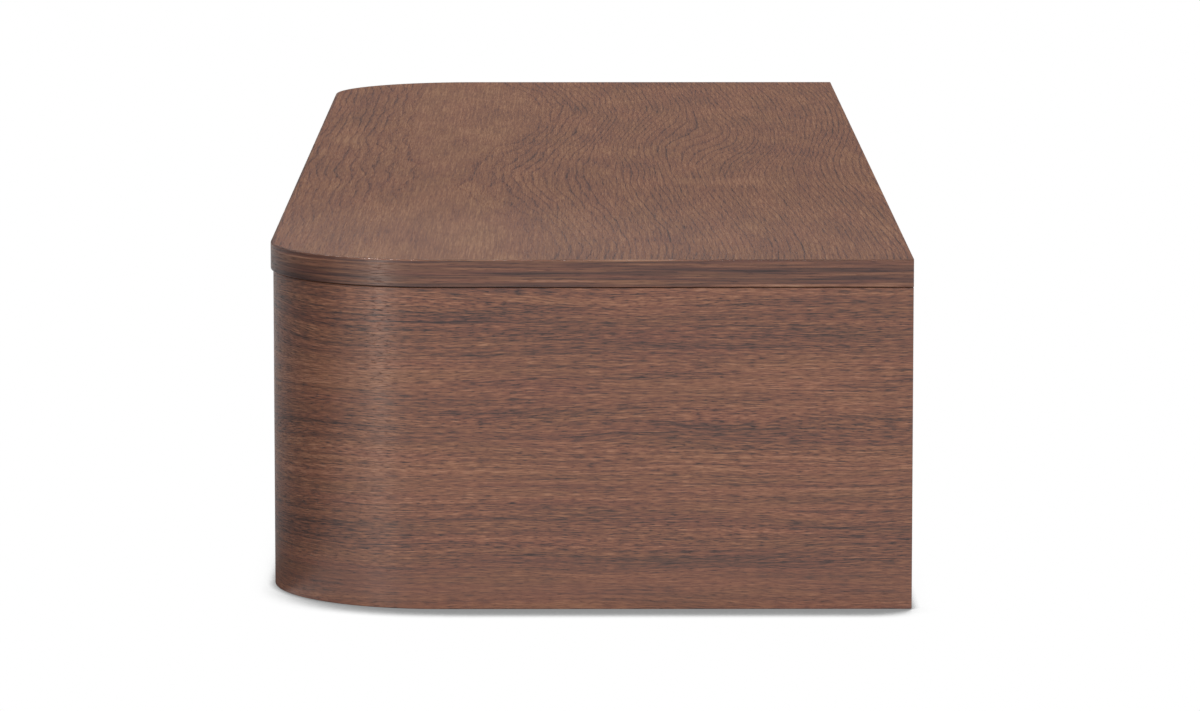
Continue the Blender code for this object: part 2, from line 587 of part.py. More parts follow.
def build_drawer(console, name, side):
    """Adds one drawer: its front and the box behind it."""
    drawer = add_empty(f"drawer_{name}", console, (side * BAY_MIDDLE, DRAWER_BACK_PLANE, 0.0))
    groove_low = BOX_LOW + BOX_BOTTOM_LIFT
    groove_high = groove_low + BOX_BOTTOM_THICKNESS + 2 * SEAT_GAP
    inner_half = BOX_HALF_WIDTH - BOX_THICKNESS
    groove_half = inner_half + BOX_GROOVE_DEPTH
    sub_front_rear = BOX_FRONT + BOX_THICKNESS
    screw_height = (groove_high + BOX_HIGH) / 2
    screw_places = [(x, screw_height) for x in spread(inner_half, FRONT_SCREW_INSET, FRONT_SCREW_COUNT)]

    ends = sorted((side * FRONT_LEFT_END, side * FRONT_RIGHT_END))
    shape = block((ends[0], -DRAWER_FRONT_THICKNESS, 0.0), (ends[1], 0.0, FRONT_HIGH))
    front = add_piece(f"drawer_{name}_front", ease(shape, SHELL_EASE), WALNUT, drawer)
    middle = (PULL_GROOVE_RADIUS - PULL_GROOVE_DEPTH, PULL_GROOVE_HEIGHT)
    groove = drill([middle], "X", PULL_GROOVE_RADIUS, -NOTCH_WIDTH / 2, NOTCH_WIDTH / 2)
    cut(front, f"drawer_{name}_front_pull", groove)
    pilots = drill(screw_places, "Y", SCREW_HOLE, -FRONT_SCREW_BITE - SEAT_GAP, SEAT_GAP)
    cut(front, f"drawer_{name}_front_pilots", pilots)

    for hand, word in ((1, "outer"), (-1, "inner")):
        faces = sorted((side * hand * inner_half, side * hand * BOX_HALF_WIDTH))
        shape = block((faces[0], BOX_FRONT, BOX_LOW), (faces[1], BOX_REAR, BOX_HIGH))
        wall = add_piece(f"drawer_{name}_{word}_side", ease(shape, PANEL_EASE), BIRCH, drawer)
        depths = sorted((side * hand * (inner_half - BOX_GROOVE_DEPTH), side * hand * groove_half))
        low = (depths[0], BOX_FRONT + BOX_THICKNESS - BOX_GROOVE_DEPTH, groove_low)
        high = (depths[1], BOX_REAR + BOX_THICKNESS, groove_high)
        cut(wall, f"drawer_{name}_{word}_side_groove", block(low, high))

    across = inner_half - SEAT_GAP
    shape = block((-across, BOX_FRONT, BOX_LOW), (across, sub_front_rear, BOX_HIGH))
    sub_front = add_piece(f"drawer_{name}_sub_front", ease(shape, PANEL_EASE), BIRCH, drawer)
    low = (-BOX_HALF_WIDTH, sub_front_rear - BOX_GROOVE_DEPTH, groove_low)
    high = (BOX_HALF_WIDTH, sub_front_rear + BOX_GROOVE_DEPTH, groove_high)
    cut(sub_front, f"drawer_{name}_sub_front_groove", block(low, high))
    holes = drill(screw_places, "Y", SCREW_HOLE, -BOX_THICKNESS, 2 * sub_front_rear)
    cut(sub_front, f"drawer_{name}_sub_front_holes", holes)

    shape = block((-across, BOX_REAR - BOX_THICKNESS, groove_high), (across, BOX_REAR, BOX_HIGH))
    add_piece(f"drawer_{name}_back", ease(shape, PANEL_EASE), BIRCH, drawer)

    reach = groove_half - SEAT_GAP
    start = sub_front_rear - BOX_GROOVE_DEPTH + SEAT_GAP
    low = (-reach, start, groove_low + SEAT_GAP)
    high = (reach, BOX_REAR, groove_low + SEAT_GAP + BOX_BOTTOM_THICKNESS)
    add_piece(f"drawer_{name}_bottom", block(low, high), BIRCH, drawer)

    head_seat = sub_front_rear + SEAT_GAP
    for index, (x, z) in enumerate(screw_places, 1):
        place = (x, head_seat, z)
        screw(f"drawer_{name}_screw_{index}", head_seat + FRONT_SCREW_BITE, drawer, place, HEAD_TO_WALL)
    return drawer


def channel(web, lip, height, sheet):
    """Lists a C section: its web at one width, its two flanges reaching to the other."""
    inside = web + math.copysign(sheet, lip - web)
    half = height / 2
    return [
        (web, -half),
        (lip, -half),
        (lip, -half + sheet),
        (inside, -half + sheet),
        (inside, half - sheet),
        (lip, half - sheet),
        (lip, half),
        (web, half),
    ]


def build_runner(console, drawer, name, mount_face, toward):
    """Adds one three-part runner, which starts at its mounting face and reaches toward the drawer."""
    step = RUNNER_SHEET + RUNNER_PLAY
    middle_height = RUNNER_HEIGHT - 2 * step
    inner_height = middle_height - 2 * step
    start = mount_face + toward * SEAT_GAP
    place = (start, RUNNER_FRONT, RUNNER_MIDDLE_HEIGHT)

    section = channel(0.0, toward * (RUNNER_THICKNESS - RUNNER_SHEET), RUNNER_HEIGHT, RUNNER_SHEET)
    shape = prism(section, "Y", 0.0, RUNNER_LENGTH)
    add_piece(f"runner_{name}_case_member", shape, ZINC, console, place)

    middle_lip = RUNNER_THICKNESS - RUNNER_SHEET - RUNNER_PLAY
    section = channel(toward * step, toward * middle_lip, middle_height, RUNNER_SHEET)
    shape = prism(section, "Y", 0.0, RUNNER_LENGTH)
    add_piece(f"runner_{name}_middle_member", shape, ZINC, console, place)

    inner_lip = step + RUNNER_SHEET + RUNNER_PLAY
    section = channel(toward * RUNNER_THICKNESS, toward * inner_lip, inner_height, RUNNER_SHEET)
    shape = prism(section, "Y", 0.0, RUNNER_LENGTH)
    local = Vector(place) - drawer.location
    add_piece(f"runner_{name}_drawer_member", shape, ZINC, drawer, local)


clear_scene()

WALNUT = make_material("walnut_veneer", (0.19, 0.10, 0.072), 0.42)
WALNUT_EDGE = make_material("walnut_edge", (0.13, 0.085, 0.07), 0.45)
WALNUT_PANEL = make_material("walnut_panel", (0.17, 0.095, 0.07), 0.5)
PLYWOOD = make_material("plywood", (0.52, 0.37, 0.22), 0.6)
BIRCH = make_material("birch", (0.66, 0.50, 0.32), 0.5)
BEECH = make_material("beech", (0.58, 0.38, 0.22), 0.6)
ZINC = make_material("zinc_steel", (0.60, 0.61, 0.62), 0.35, 1.0)
SCREW_STEEL = make_material("screw_steel", (0.50, 0.47, 0.38), 0.4, 1.0)
CUTTER = make_material("cutter", (0.8, 0.2, 0.2), 0.8)

console_root = add_empty("console", None, (0.0, 0.0, -ORIGIN_HEIGHT))
build_top(console_root)
build_shells(console_root)
build_bottom(console_root)
build_uprights(console_root)
build_rails(console_root)
build_back(console_root)
build_cleats(console_root)
build_fixings(console_root)
for word, hand in (("left", -1), ("right", 1)):
    box = build_drawer(console_root, word, hand)
    build_runner(console_root, box, f"{word}_outer", hand * INNER_SIDE_FACE, -hand)
    build_runner(console_root, box, f"{word}_inner", hand * BAY_NEAR, hand)
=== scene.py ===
# %% [markdown]
# # A floating console table in walnut
#
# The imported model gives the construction: boards, runners, screws and where each one sits. This lesson
# gives it its looks. The show surfaces, runners, screws and dowels are rebuilt here with the detail of the
# real ones, the hidden boards keep their CAD shape and get a finish, and at the end the table is set on a
# pale floor under soft light.

# %% Load the frame
import json
import math

import bmesh
import bpy
from mathutils import Matrix, Vector


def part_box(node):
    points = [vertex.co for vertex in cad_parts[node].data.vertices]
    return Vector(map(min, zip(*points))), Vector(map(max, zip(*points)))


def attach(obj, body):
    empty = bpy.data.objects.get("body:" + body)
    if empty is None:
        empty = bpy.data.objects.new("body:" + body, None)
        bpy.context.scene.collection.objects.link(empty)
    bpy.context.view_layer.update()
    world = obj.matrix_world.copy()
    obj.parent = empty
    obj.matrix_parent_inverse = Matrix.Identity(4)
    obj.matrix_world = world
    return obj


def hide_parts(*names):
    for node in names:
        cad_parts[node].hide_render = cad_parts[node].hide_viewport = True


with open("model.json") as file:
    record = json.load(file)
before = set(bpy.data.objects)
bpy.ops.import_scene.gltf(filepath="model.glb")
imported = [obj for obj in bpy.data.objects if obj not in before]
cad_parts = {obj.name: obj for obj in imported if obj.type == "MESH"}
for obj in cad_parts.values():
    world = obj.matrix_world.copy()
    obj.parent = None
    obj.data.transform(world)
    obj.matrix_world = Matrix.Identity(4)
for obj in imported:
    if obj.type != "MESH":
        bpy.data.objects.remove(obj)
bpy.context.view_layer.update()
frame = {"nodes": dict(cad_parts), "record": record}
nodes = frame["nodes"]

# %% [markdown]
# ## Sizes
#
# Every place below is read from the CAD boxes, so nothing here can drift from the construction. Only three
# sizes don't show in a box: the radius of the case's round corner, and the easing of two kinds of edge.

# %% Sizes from the frame
MM = 0.001
CORNER_RADIUS = 100 * MM
TOP_EASE = 0.7 * MM
BOARD_EASE = 0.6 * MM
CORNER_STEPS = 48
TINY = 1e-6

shell_low, shell_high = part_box("end_shell_right")
band_low, band_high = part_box("top_edge_band")
panel_low, panel_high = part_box("top_panel")
case_end = shell_high.x
case_front = shell_low.y
corner = Vector((case_end - CORNER_RADIUS, case_front + CORNER_RADIUS))
shell_thickness = case_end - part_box("bottom_panel")[1].x
overhang = band_high.x - case_end
band_thickness = band_high.x - panel_high.x
straight_run = -corner.y
corner_run = CORNER_RADIUS * math.pi / 2
whole_run = 2 * (straight_run + corner_run + corner.x)
print("case end", round(case_end, 4), "front", round(case_front, 4), "veneer run", round(whole_run, 4))

# %% [markdown]
# ## Helpers for meshes
#
# A piece is finished in one place: its normals are made to point outwards, its faces are shaded smooth
# except across sharp edges, and a Weighted Normal modifier keeps the large flat faces flat next to their
# small rounded edges. It is tied to the CAD body that carries it, and the CAD nodes it stands for are hidden.

# %% Finish a piece


def sharp_edges(shape, angle=math.radians(40)):
    shape.normal_update()
    return [edge for edge in shape.edges if edge.is_manifold and edge.calc_face_angle() > angle]


def finish_piece(name, shape, materials, body, replaced):
    bmesh.ops.recalc_face_normals(shape, faces=shape.faces)
    for face in shape.faces:
        face.smooth = True
    for edge in sharp_edges(shape):
        edge.smooth = False
    mesh = bpy.data.meshes.new(name)
    shape.to_mesh(mesh)
    shape.free()
    for material in materials:
        mesh.materials.append(material)
    piece = bpy.data.objects.new(name, mesh)
    bpy.context.scene.collection.objects.link(piece)
    weighted = piece.modifiers.new("flat faces stay flat", "WEIGHTED_NORMAL")
    weighted.weight = 100
    weighted.keep_sharp = True
    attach(piece, body)
    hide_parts(*replaced)
    print(name, "faces:", len(mesh.polygons))
    return piece


# %% Round and split


def round_edges(shape, edges, radius, segments=3):
    bmesh.ops.bevel(
        shape,
        geom=edges,
        offset=radius,
        offset_type="OFFSET",
        affect="EDGES",
        segments=segments,
        profile=0.5,
        material=-1,
        clamp_overlap=True,
    )


def split_faces(shape, faces, place, across):
    geometry = set(faces)
    for face in faces:
        geometry.update(face.edges)
        geometry.update(face.verts)
    bmesh.ops.bisect_plane(shape, geom=list(geometry), plane_co=place, plane_no=across)


def faces_at(shape, axis, level):
    return [face for face in shape.faces if all(abs(vert.co[axis] - level) < TINY for vert in face.verts)]


def new_verts(result):
    return [item for item in result["geom"] if isinstance(item, bmesh.types.BMVert)]


# %% [markdown]
# ## Veneer coordinates
#
# Veneer that goes round a corner needs its own coordinates: how far along the sheet, and how far up. The
# sheet starts at the right rear edge, passes the right corner, the drawer fronts and the left corner, and
# ends at the left rear edge, so the grain runs on from piece to piece as it does when one sheet is cut up.
# On an edge the depth into the board is added, so that the grain turns over the edge and isn't smeared.
# A cut plywood edge gets the depth alone, because its plies lie at fixed depths.

# %% Wrap the veneer
PLY_EDGE = 1


def veneer_run(x, y):
    across = abs(x)
    if y > corner.y:
        run = -y
    elif across > corner.x:
        run = straight_run + CORNER_RADIUS * math.atan2(corner.y - y, across - corner.x)
    else:
        run = straight_run + corner_run + corner.x - across
    return run if x >= 0 else whole_run - run


def depth_in(x, y):
    across = abs(x)
    if y > corner.y:
        return case_end - across
    if across > corner.x:
        return CORNER_RADIUS - math.hypot(across - corner.x, corner.y - y)
    return y - case_front


def wrap_veneer(shape):
    layer = shape.loops.layers.uv.new("veneer")
    shape.normal_update()
    for face in shape.faces:
        for loop in face.loops:
            x, y, z = loop.vert.co
            run = veneer_run(x, y)
            depth = max(depth_in(x, y), 0.0)
            if face.material_index == PLY_EDGE:
                loop[layer].uv = (run + z, depth)
            elif abs(face.normal.z) > 0.5:
                loop[layer].uv = (run, z + depth)
            else:
                loop[layer].uv = (run + depth, z)


# %% [markdown]
# ## Helpers for materials
#
# Colours are written as sRGB hex values, as a paint chart gives them, and turned to the linear values that
# Blender works in. One small function adds a node, sets it and links it. Where a node is given as an input,
# its first output is meant.

# %% Colours and nodes


def linear(hex_colour):
    channels = []
    for start in (0, 2, 4):
        value = int(hex_colour[start:start + 2], 16) / 255
        channels.append(value / 12.92 if value <= 0.04045 else ((value + 0.055) / 1.055) ** 2.4)
    return (*channels, 1.0)


def feed(tree, node, inputs):
    for key, value in inputs.items():
        if isinstance(value, bpy.types.Node):
            value = value.outputs[0]
        if isinstance(value, bpy.types.NodeSocket):
            tree.links.new(value, node.inputs[key])
        else:
            node.inputs[key].default_value = value


def add(tree, kind, inputs=None, **settings):
    node = tree.nodes.new("ShaderNode" + kind)
    for name, value in settings.items():
        setattr(node, name, value)
    feed(tree, node, inputs or {})
    return node


def start_material(name):
    material = bpy.data.materials.new(name)
    material.use_nodes = True
    tree = material.node_tree
    shader = tree.nodes["Principled BSDF"]
    return material, tree, shader


def colour_ramp(tree, value, colours, places=None):
    places = places or [index / (len(colours) - 1) for index in range(len(colours))]
    ramp = add(tree, "ValToRGB", {"Fac": value})
    stops = ramp.color_ramp.elements
    stops[0].position = places[0]
    stops[1].position = places[-1]
    for place in places[1:-1]:
        stops.new(place)
    for stop, colour in zip(stops, colours):
        stop.color = linear(colour)
    return ramp


# %% [markdown]
# ## Wood, layer by layer
#
# Wood is built up the way the eye reads it. Broad growth bands come first, then fine streaks, then thin
# dark growth lines, and last the pores: short dark dashes that the satin lacquer doesn't fill. Each layer is
# one noise, stretched along the grain to a real length and width, and together they give one number, from
# pore to pale wood. A colour ramp turns that number into walnut or birch, and in walnut the hue drifts a
# little between red and olive. The pores are also a little duller and lower than the wood round them.

# %% Layers of grain
PORE_CLUSTERING = 0.22
PORE_START = 0.65
PORE_FULL = 0.80
PORE_DULLNESS = 0.2
PORE_DEPTH = 0.15 * MM
PORE_BUMP = 0.3


def grain_layer(tree, place, along, across, detail=2.0):
    scale = (1 / along, 1 / across, 1 / across)
    laid = add(tree, "Mapping", {"Vector": place, "Scale": scale})
    return add(tree, "TexNoise", {"Vector": laid, "Scale": 1.0, "Detail": detail})


def pore_dashes(tree, place, along, across, cluster):
    dashes = grain_layer(tree, place, along, across)
    often = blend_layers(tree, dashes, [(cluster, PORE_CLUSTERING)])
    return add(tree, "MapRange", {"Value": often, "From Min": PORE_START, "From Max": PORE_FULL})


def blend_layers(tree, base, layers):
    total = base
    for layer, weight in layers:
        total = add(tree, "Math", {0: layer, 1: weight, 2: total}, operation="MULTIPLY_ADD")
    return total


def away_from(tree, value, place):
    gap = add(tree, "Math", {0: value, 1: place}, operation="SUBTRACT")
    return add(tree, "Math", {0: gap}, operation="ABSOLUTE")


def facing(tree, axis):
    normal = add(tree, "NewGeometry").outputs["True Normal"]
    toward = add(tree, "SeparateXYZ", {"Vector": normal}).outputs[axis]
    return add(tree, "Math", {0: toward}, operation="ABSOLUTE")


def tinted(tree, place, along, across, share, colour):
    drift = grain_layer(tree, place, along, across, 1.0)
    hue = blend_layers(tree, 0.5 - share / 2, [(drift, share)])
    return add(tree, "HueSaturation", {"Hue": hue, "Color": colour})


def wood_surface(tree, shader, colour, pores, roughness):
    dull = add(tree, "MapRange", {"Value": pores, "To Min": roughness, "To Max": roughness + PORE_DULLNESS})
    bump = add(tree, "Bump", {"Height": pores, "Strength": PORE_BUMP, "Distance": PORE_DEPTH}, invert=True)
    feed(tree, shader, {"Base Color": colour, "Roughness": dull, "Normal": bump})


# %% [markdown]
# ## Plywood edges
#
# Where a board is cut across, its plies show as stripes: pale where the fibres lie along the edge, brown
# where they end in it, with a dark glue line between. Birch ply of 18 mm usually has thirteen plies. Seven
# are drawn, because thinner ones would melt into one tone in a picture of the whole table.

# %% Plies
PLY = 18 * MM / 7
PLY_COLOURS = ("7d5a3e", "dcc29c", "d6ba94", "7d5a3e", "b58d64", "ae865e", "7d5a3e")
PLY_PLACES = (0.0, 0.06, 0.45, 0.5, 0.56, 0.95, 1.0)
SQUARE_ON = 0.9


def ply_stripes(tree, depth):
    pairs = add(tree, "Math", {0: depth, 1: 2 * PLY}, operation="DIVIDE")
    phase = add(tree, "Math", {0: pairs}, operation="FRACT")
    return colour_ramp(tree, phase, PLY_COLOURS, PLY_PLACES)


def cut_edges(tree, thin, depth, face_colour):
    on_face = add(tree, "Math", {0: facing(tree, thin), 1: SQUARE_ON}, operation="GREATER_THAN")
    stripes = ply_stripes(tree, depth)
    return add(tree, "Mix", {0: on_face, 6: stripes, 7: face_colour}, data_type="RGBA").outputs[2]


# %% [markdown]
# ## Walnut with straight grain
#
# The case is veneered with quarter-cut walnut, so the growth lines run level and nearly straight. Where the
# broad bands lie is listed, as a veneer sheet is chosen: a quiet reddish strip along the bottom, a darker
# one above it, a pale one half way up and another near the top. The bottom board has the same veneer on its
# faces and edges; its height is added to its depth, so that the grain turns over its rear edge.

# %% Walnut for the case
CASE_COLOURS = ("332829", "573f38", "744d3f", "895f4a", "9e735c")
BAND_HEIGHTS = (0, 12, 24, 32, 46, 62, 78, 88, 97, 108, 127, 138, 155, 167, 177, 188)
BAND_TONES = (48, 51, 33, 37, 38, 51, 60, 70, 40, 42, 62, 60, 40, 34, 50, 50)
CASE_SWAY = 22 * MM
CALM_HEIGHT = 26 * MM
BUSY_HEIGHT = 44 * MM
CALM_SHARE = 0.6
GROWTH_LINE = 0.016


def band_tones(tree, height):
    level = add(tree, "MapRange", {
        "Value": height, "From Min": shell_low.z + CASE_SWAY / 2, "From Max": shell_high.z + CASE_SWAY / 2})
    bands = add(tree, "ValToRGB", {"Fac": level})
    stops = bands.color_ramp.elements
    for index, (rise, tone) in enumerate(zip(BAND_HEIGHTS, BAND_TONES)):
        stop = stops[index] if index < 2 else stops.new(rise / BAND_HEIGHTS[-1])
        stop.position = rise / BAND_HEIGHTS[-1]
        stop.color = (tone / 100, tone / 100, tone / 100, 1.0)
    return bands


def straight_walnut(tree, place):
    across = add(tree, "SeparateXYZ", {"Vector": place})
    sway = grain_layer(tree, place, 300 * MM, 60 * MM)
    height = blend_layers(tree, across.outputs["Y"], [(sway, CASE_SWAY)])
    grain = add(tree, "CombineXYZ", {"X": across.outputs["X"], "Y": height})
    patches = grain_layer(tree, grain, 240 * MM, 14 * MM, 3.0)
    streaks = grain_layer(tree, grain, 150 * MM, 2.0 * MM, 3.0)
    fibres = grain_layer(tree, grain, 9 * MM, 0.62 * MM, 2.0)
    rings = grain_layer(tree, grain, 420 * MM, 11 * MM, 1.0)
    near = away_from(tree, rings, 0.5)
    line = add(tree, "MapRange", {
        "Value": near, "From Min": 0.0, "From Max": GROWTH_LINE, "To Min": 1.0, "To Max": 0.0})
    pores = pore_dashes(tree, grain, 4.5 * MM, 0.5 * MM, patches)
    busy = add(tree, "MapRange", {
        "Value": height, "From Min": shell_low.z + CALM_HEIGHT, "From Max": shell_low.z + BUSY_HEIGHT,
        "To Min": CALM_SHARE})
    detail = blend_layers(tree, -1.40, [
        (streaks, 1.1),
        (fibres, 1.7),
        (line, -0.2),
        (pores, -0.40),
    ])
    tone = blend_layers(tree, -0.01, [
        (band_tones(tree, height), 0.55),
        (patches, 0.60),
        (detail, busy),
    ])
    return tinted(tree, grain, 90 * MM, 8 * MM, 0.018, colour_ramp(tree, tone, CASE_COLOURS)), pores


walnut, tree, shader = start_material("walnut_quarter_cut_satin")
veneer_place = add(tree, "UVMap", uv_map="veneer")
colour, pores = straight_walnut(tree, veneer_place)
wood_surface(tree, shader, colour, pores, 0.34)
print("case veneer nodes:", len(tree.nodes))

# %% Walnut for the bottom board
walnut_under, tree, shader = start_material("walnut_underside_satin")
part = add(tree, "SeparateXYZ", {"Vector": add(tree, "TexCoord").outputs["Object"]})
inward = blend_layers(tree, part.outputs["Y"], [(part.outputs["Z"], 1.0)])
board_place = add(tree, "CombineXYZ", {"X": part.outputs["X"], "Y": inward})
colour, pores = straight_walnut(tree, board_place)
wood_surface(tree, shader, colour, pores, 0.42)
print("bottom board nodes:", len(tree.nodes))

# %% [markdown]
# ## Walnut with crown-cut grain
#
# The top is sliced flat through the log, so the growth rings come out as long arches. A flat cut at some
# depth under a round trunk meets a ring wherever the distance to the heart is that ring's radius, and that
# is how it is drawn: the distance from the heart line and the depth below it give a radius, and each few
# millimetres of radius are one ring. The trunk is a little thicker in places, so the depth swells along it,
# which draws the narrow neck and the ovals on either side of it. Within the ovals the wood is calm and has
# few pores. An eye in the grain pushes the rings apart.

# %% Rings of the top
TOP_COLOURS = ("4a3935", "664c46", "81594a", "926751", "a87c61")
HEART_LINE = -265.1 * MM
CUT_DEPTH = 93.7 * MM
SWELL = 5.0 * MM
HEART_BEND = 15 * MM
SWELL_LENGTH = 890 * MM
NECK = 115 * MM
RING_WIDTH = 3.6 * MM
LATE_START = 0.62
LATE_END = 0.97
EYE_PLACE = (-136 * MM, -109 * MM, 0.0)
EYE_SIZE = (300 * MM, 85 * MM, 1.0)
EYE_PUSH = -62 * MM
RIPPLE = 11 * MM


def round_patch(tree, flat, centre, size):
    away = add(tree, "VectorMath", {0: flat, 1: centre}, operation="SUBTRACT")
    scaled = add(tree, "VectorMath", {0: away, 1: size}, operation="DIVIDE")
    reach = add(tree, "VectorMath", {0: scaled}, operation="LENGTH")
    patch = add(tree, "MapRange", {
        "Value": reach.outputs["Value"], "To Min": 1.0, "To Max": 0.0}, interpolation_type="SMOOTHSTEP")
    return patch, scaled


def ring_radius(tree, flat):
    part = add(tree, "SeparateXYZ", {"Vector": flat})
    sway = grain_layer(tree, flat, 620 * MM, 110 * MM, 1.0)
    wobble = grain_layer(tree, flat, 70 * MM, 14 * MM)
    shiver = grain_layer(tree, flat, 24 * MM, 5 * MM)
    side = blend_layers(tree, part.outputs["Y"], [(sway, 20 * MM), (wobble, 2.5 * MM), (shiver, 0.5 * MM)])
    turn = add(tree, "Math", {
        0: part.outputs["X"], 1: 2 * math.pi / SWELL_LENGTH, 2: -2 * math.pi * NECK / SWELL_LENGTH},
        operation="MULTIPLY_ADD")
    swell = add(tree, "Math", {0: turn}, operation="COSINE")
    bent = blend_layers(tree, side, [(swell, HEART_BEND / 2)])
    off_heart = add(tree, "Math", {0: bent, 1: HEART_LINE}, operation="SUBTRACT")
    ripple = grain_layer(tree, flat, 120 * MM, 30 * MM, 1.5)
    depth = blend_layers(tree, CUT_DEPTH - RIPPLE / 2, [(swell, SWELL), (ripple, RIPPLE)])
    across = add(tree, "CombineXYZ", {"X": off_heart, "Y": depth})
    radius = add(tree, "VectorMath", {0: across}, operation="LENGTH")
    eye, eye_place = round_patch(tree, flat, EYE_PLACE, EYE_SIZE)
    eye_side = add(tree, "SeparateXYZ", {"Vector": eye_place})
    spread = add(tree, "Math", {0: eye, 1: eye_side.outputs["Y"]}, operation="MULTIPLY")
    return blend_layers(tree, radius.outputs["Value"], [(spread, EYE_PUSH)])


# %% Walnut for the top
QUIET_PLACE = (460 * MM, -290 * MM, 0.0)
QUIET_SIZE = (360 * MM, 120 * MM, 1.0)
PALE_PATCHES = (((155 * MM, -104 * MM, 0.0), (38 * MM, 52 * MM, 1.0)),
                ((-140 * MM, -353 * MM, 0.0), (50 * MM, 28 * MM, 1.0)))

walnut_top, tree, shader = start_material("walnut_crown_cut_satin")
top_place = add(tree, "TexCoord").outputs["Object"]
flat = add(tree, "VectorMath", {0: top_place, 1: (1.0, 1.0, 0.0)}, operation="MULTIPLY")
radius = ring_radius(tree, flat)
heart = add(tree, "MapRange", {
    "Value": radius, "From Min": CUT_DEPTH + SWELL - 1 * MM, "From Max": CUT_DEPTH + SWELL + 0.6 * MM,
    "To Min": 1.0, "To Max": 0.0})
count = add(tree, "Math", {0: radius, 1: RING_WIDTH}, operation="DIVIDE")
ring = add(tree, "Math", {0: count}, operation="FRACT")
number = add(tree, "Math", {0: count}, operation="FLOOR")
chance = add(tree, "TexWhiteNoise", {"W": number}, noise_dimensions="1D")
late = add(tree, "MapRange", {
    "Value": ring, "From Min": LATE_START, "From Max": LATE_END}, interpolation_type="SMOOTHSTEP")
quiet = round_patch(tree, flat, QUIET_PLACE, QUIET_SIZE)[0]
shown = blend_layers(tree, 0.35, [(chance.outputs["Value"], 0.65), (quiet, -0.8), (heart, -0.75)])
strong = add(tree, "Math", {0: late, 1: shown}, operation="MULTIPLY", use_clamp=True)
pale = 0.0
for centre, size in PALE_PATCHES:
    pale = blend_layers(tree, pale, [(round_patch(tree, flat, centre, size)[0], 1.0)])
clouds = grain_layer(tree, flat, 130 * MM, 30 * MM, 3.0)
streaks = grain_layer(tree, flat, 80 * MM, 1.8 * MM, 3.0)
fibres = grain_layer(tree, flat, 22 * MM, 0.8 * MM, 2.0)
cluster = blend_layers(tree, 0.32, [(late, 0.34), (clouds, 0.45), (pale, -0.5), (heart, -0.35)])
pores = pore_dashes(tree, flat, 15 * MM, 0.65 * MM, cluster)
tone = blend_layers(tree, -0.61, [
    (clouds, 0.60),
    (streaks, 0.95),
    (fibres, 1.05),
    (strong, -0.36),
    (pores, -0.20),
    (pale, 0.16),
    (heart, 0.04),
])
colour = tinted(tree, flat, 110 * MM, 24 * MM, 0.012, colour_ramp(tree, tone, TOP_COLOURS))
wood_surface(tree, shader, colour, pores, 0.5)
print("top veneer nodes:", len(tree.nodes))

# %% [markdown]
# ## Walnut for the edge band
#
# The band round the top is a strip of the same walnut cut from another sheet, darker and with bold stripes
# one to three millimetres wide, which run round the corner with it. Along the upper arris the wood is
# painted a little paler: a painted highlight along the turn of the edge.

# %% Walnut for the edge band
EDGE_COLOURS = ("2b201f", "4a3430", "67463a", "825b48", "9d7762")
ARRIS = 1.1 * MM

walnut_edge, tree, shader = start_material("walnut_edge_band_satin")
band_place = add(tree, "UVMap", uv_map="veneer")
broad = grain_layer(tree, band_place, 260 * MM, 3.2 * MM, 2.0)
streaks = grain_layer(tree, band_place, 50 * MM, 1.2 * MM, 3.0)
pores = pore_dashes(tree, band_place, 9 * MM, 0.6 * MM, broad)
rise = add(tree, "SeparateXYZ", {"Vector": band_place}).outputs["Y"]
# Painted highlight: the tone is raised along the turn of the upper arris.
painted_arris_highlight = add(tree, "MapRange", {
    "Value": rise, "From Min": band_high.z - ARRIS, "From Max": band_high.z - ARRIS / 2})
tone = blend_layers(tree, -0.81, [(broad, 1.35), (streaks, 1.25), (pores, -0.25), (painted_arris_highlight, 0.22)])
colour = tinted(tree, band_place, 70 * MM, 3 * MM, 0.028, colour_ramp(tree, tone, EDGE_COLOURS))
wood_surface(tree, shader, colour, pores, 0.32)
print("edge band nodes:", len(tree.nodes))

# %% [markdown]
# ## Birch plywood
#
# The hidden boards are birch plywood. Its face veneer is peeled off a turning log, so it shows a pale, soft,
# wavy figure with few pores, and its cut edges show the plies. One function makes it for a board that is
# thin along X, Y or Z; the grain runs along the board's length. The bent ends use only the striped edge,
# with the depth from their own coordinates.

# %% Birch plywood
BIRCH_PLY_COLOURS = ("ad8a62", "cdae86", "dbc29e", "e6d2b3")


def along_grain(tree, along, across, thin):
    place = add(tree, "TexCoord").outputs["Object"]
    part = add(tree, "SeparateXYZ", {"Vector": place}).outputs
    laid = add(tree, "CombineXYZ", {"X": part[along], "Y": part[across], "Z": part[thin]})
    return laid, part[thin]


def birch_plywood(along, across, thin):
    material, tree, shader = start_material(f"birch_plywood_thin_{thin.lower()}")
    laid, depth = along_grain(tree, along, across, thin)
    figure = grain_layer(tree, laid, 170 * MM, 20 * MM, 3.0)
    fibres = grain_layer(tree, laid, 30 * MM, 1.2 * MM)
    pores = pore_dashes(tree, laid, 8 * MM, 0.7 * MM, figure)
    tone = blend_layers(tree, -0.75, [(figure, 1.3), (fibres, 1.2), (pores, -0.25)])
    face_colour = colour_ramp(tree, tone, BIRCH_PLY_COLOURS)
    wood_surface(tree, shader, cut_edges(tree, thin, depth, face_colour), pores, 0.6)
    return material


plywood = {
    "X": birch_plywood("Y", "Z", "X"),
    "Y": birch_plywood("X", "Z", "Y"),
    "Z": birch_plywood("X", "Y", "Z"),
}

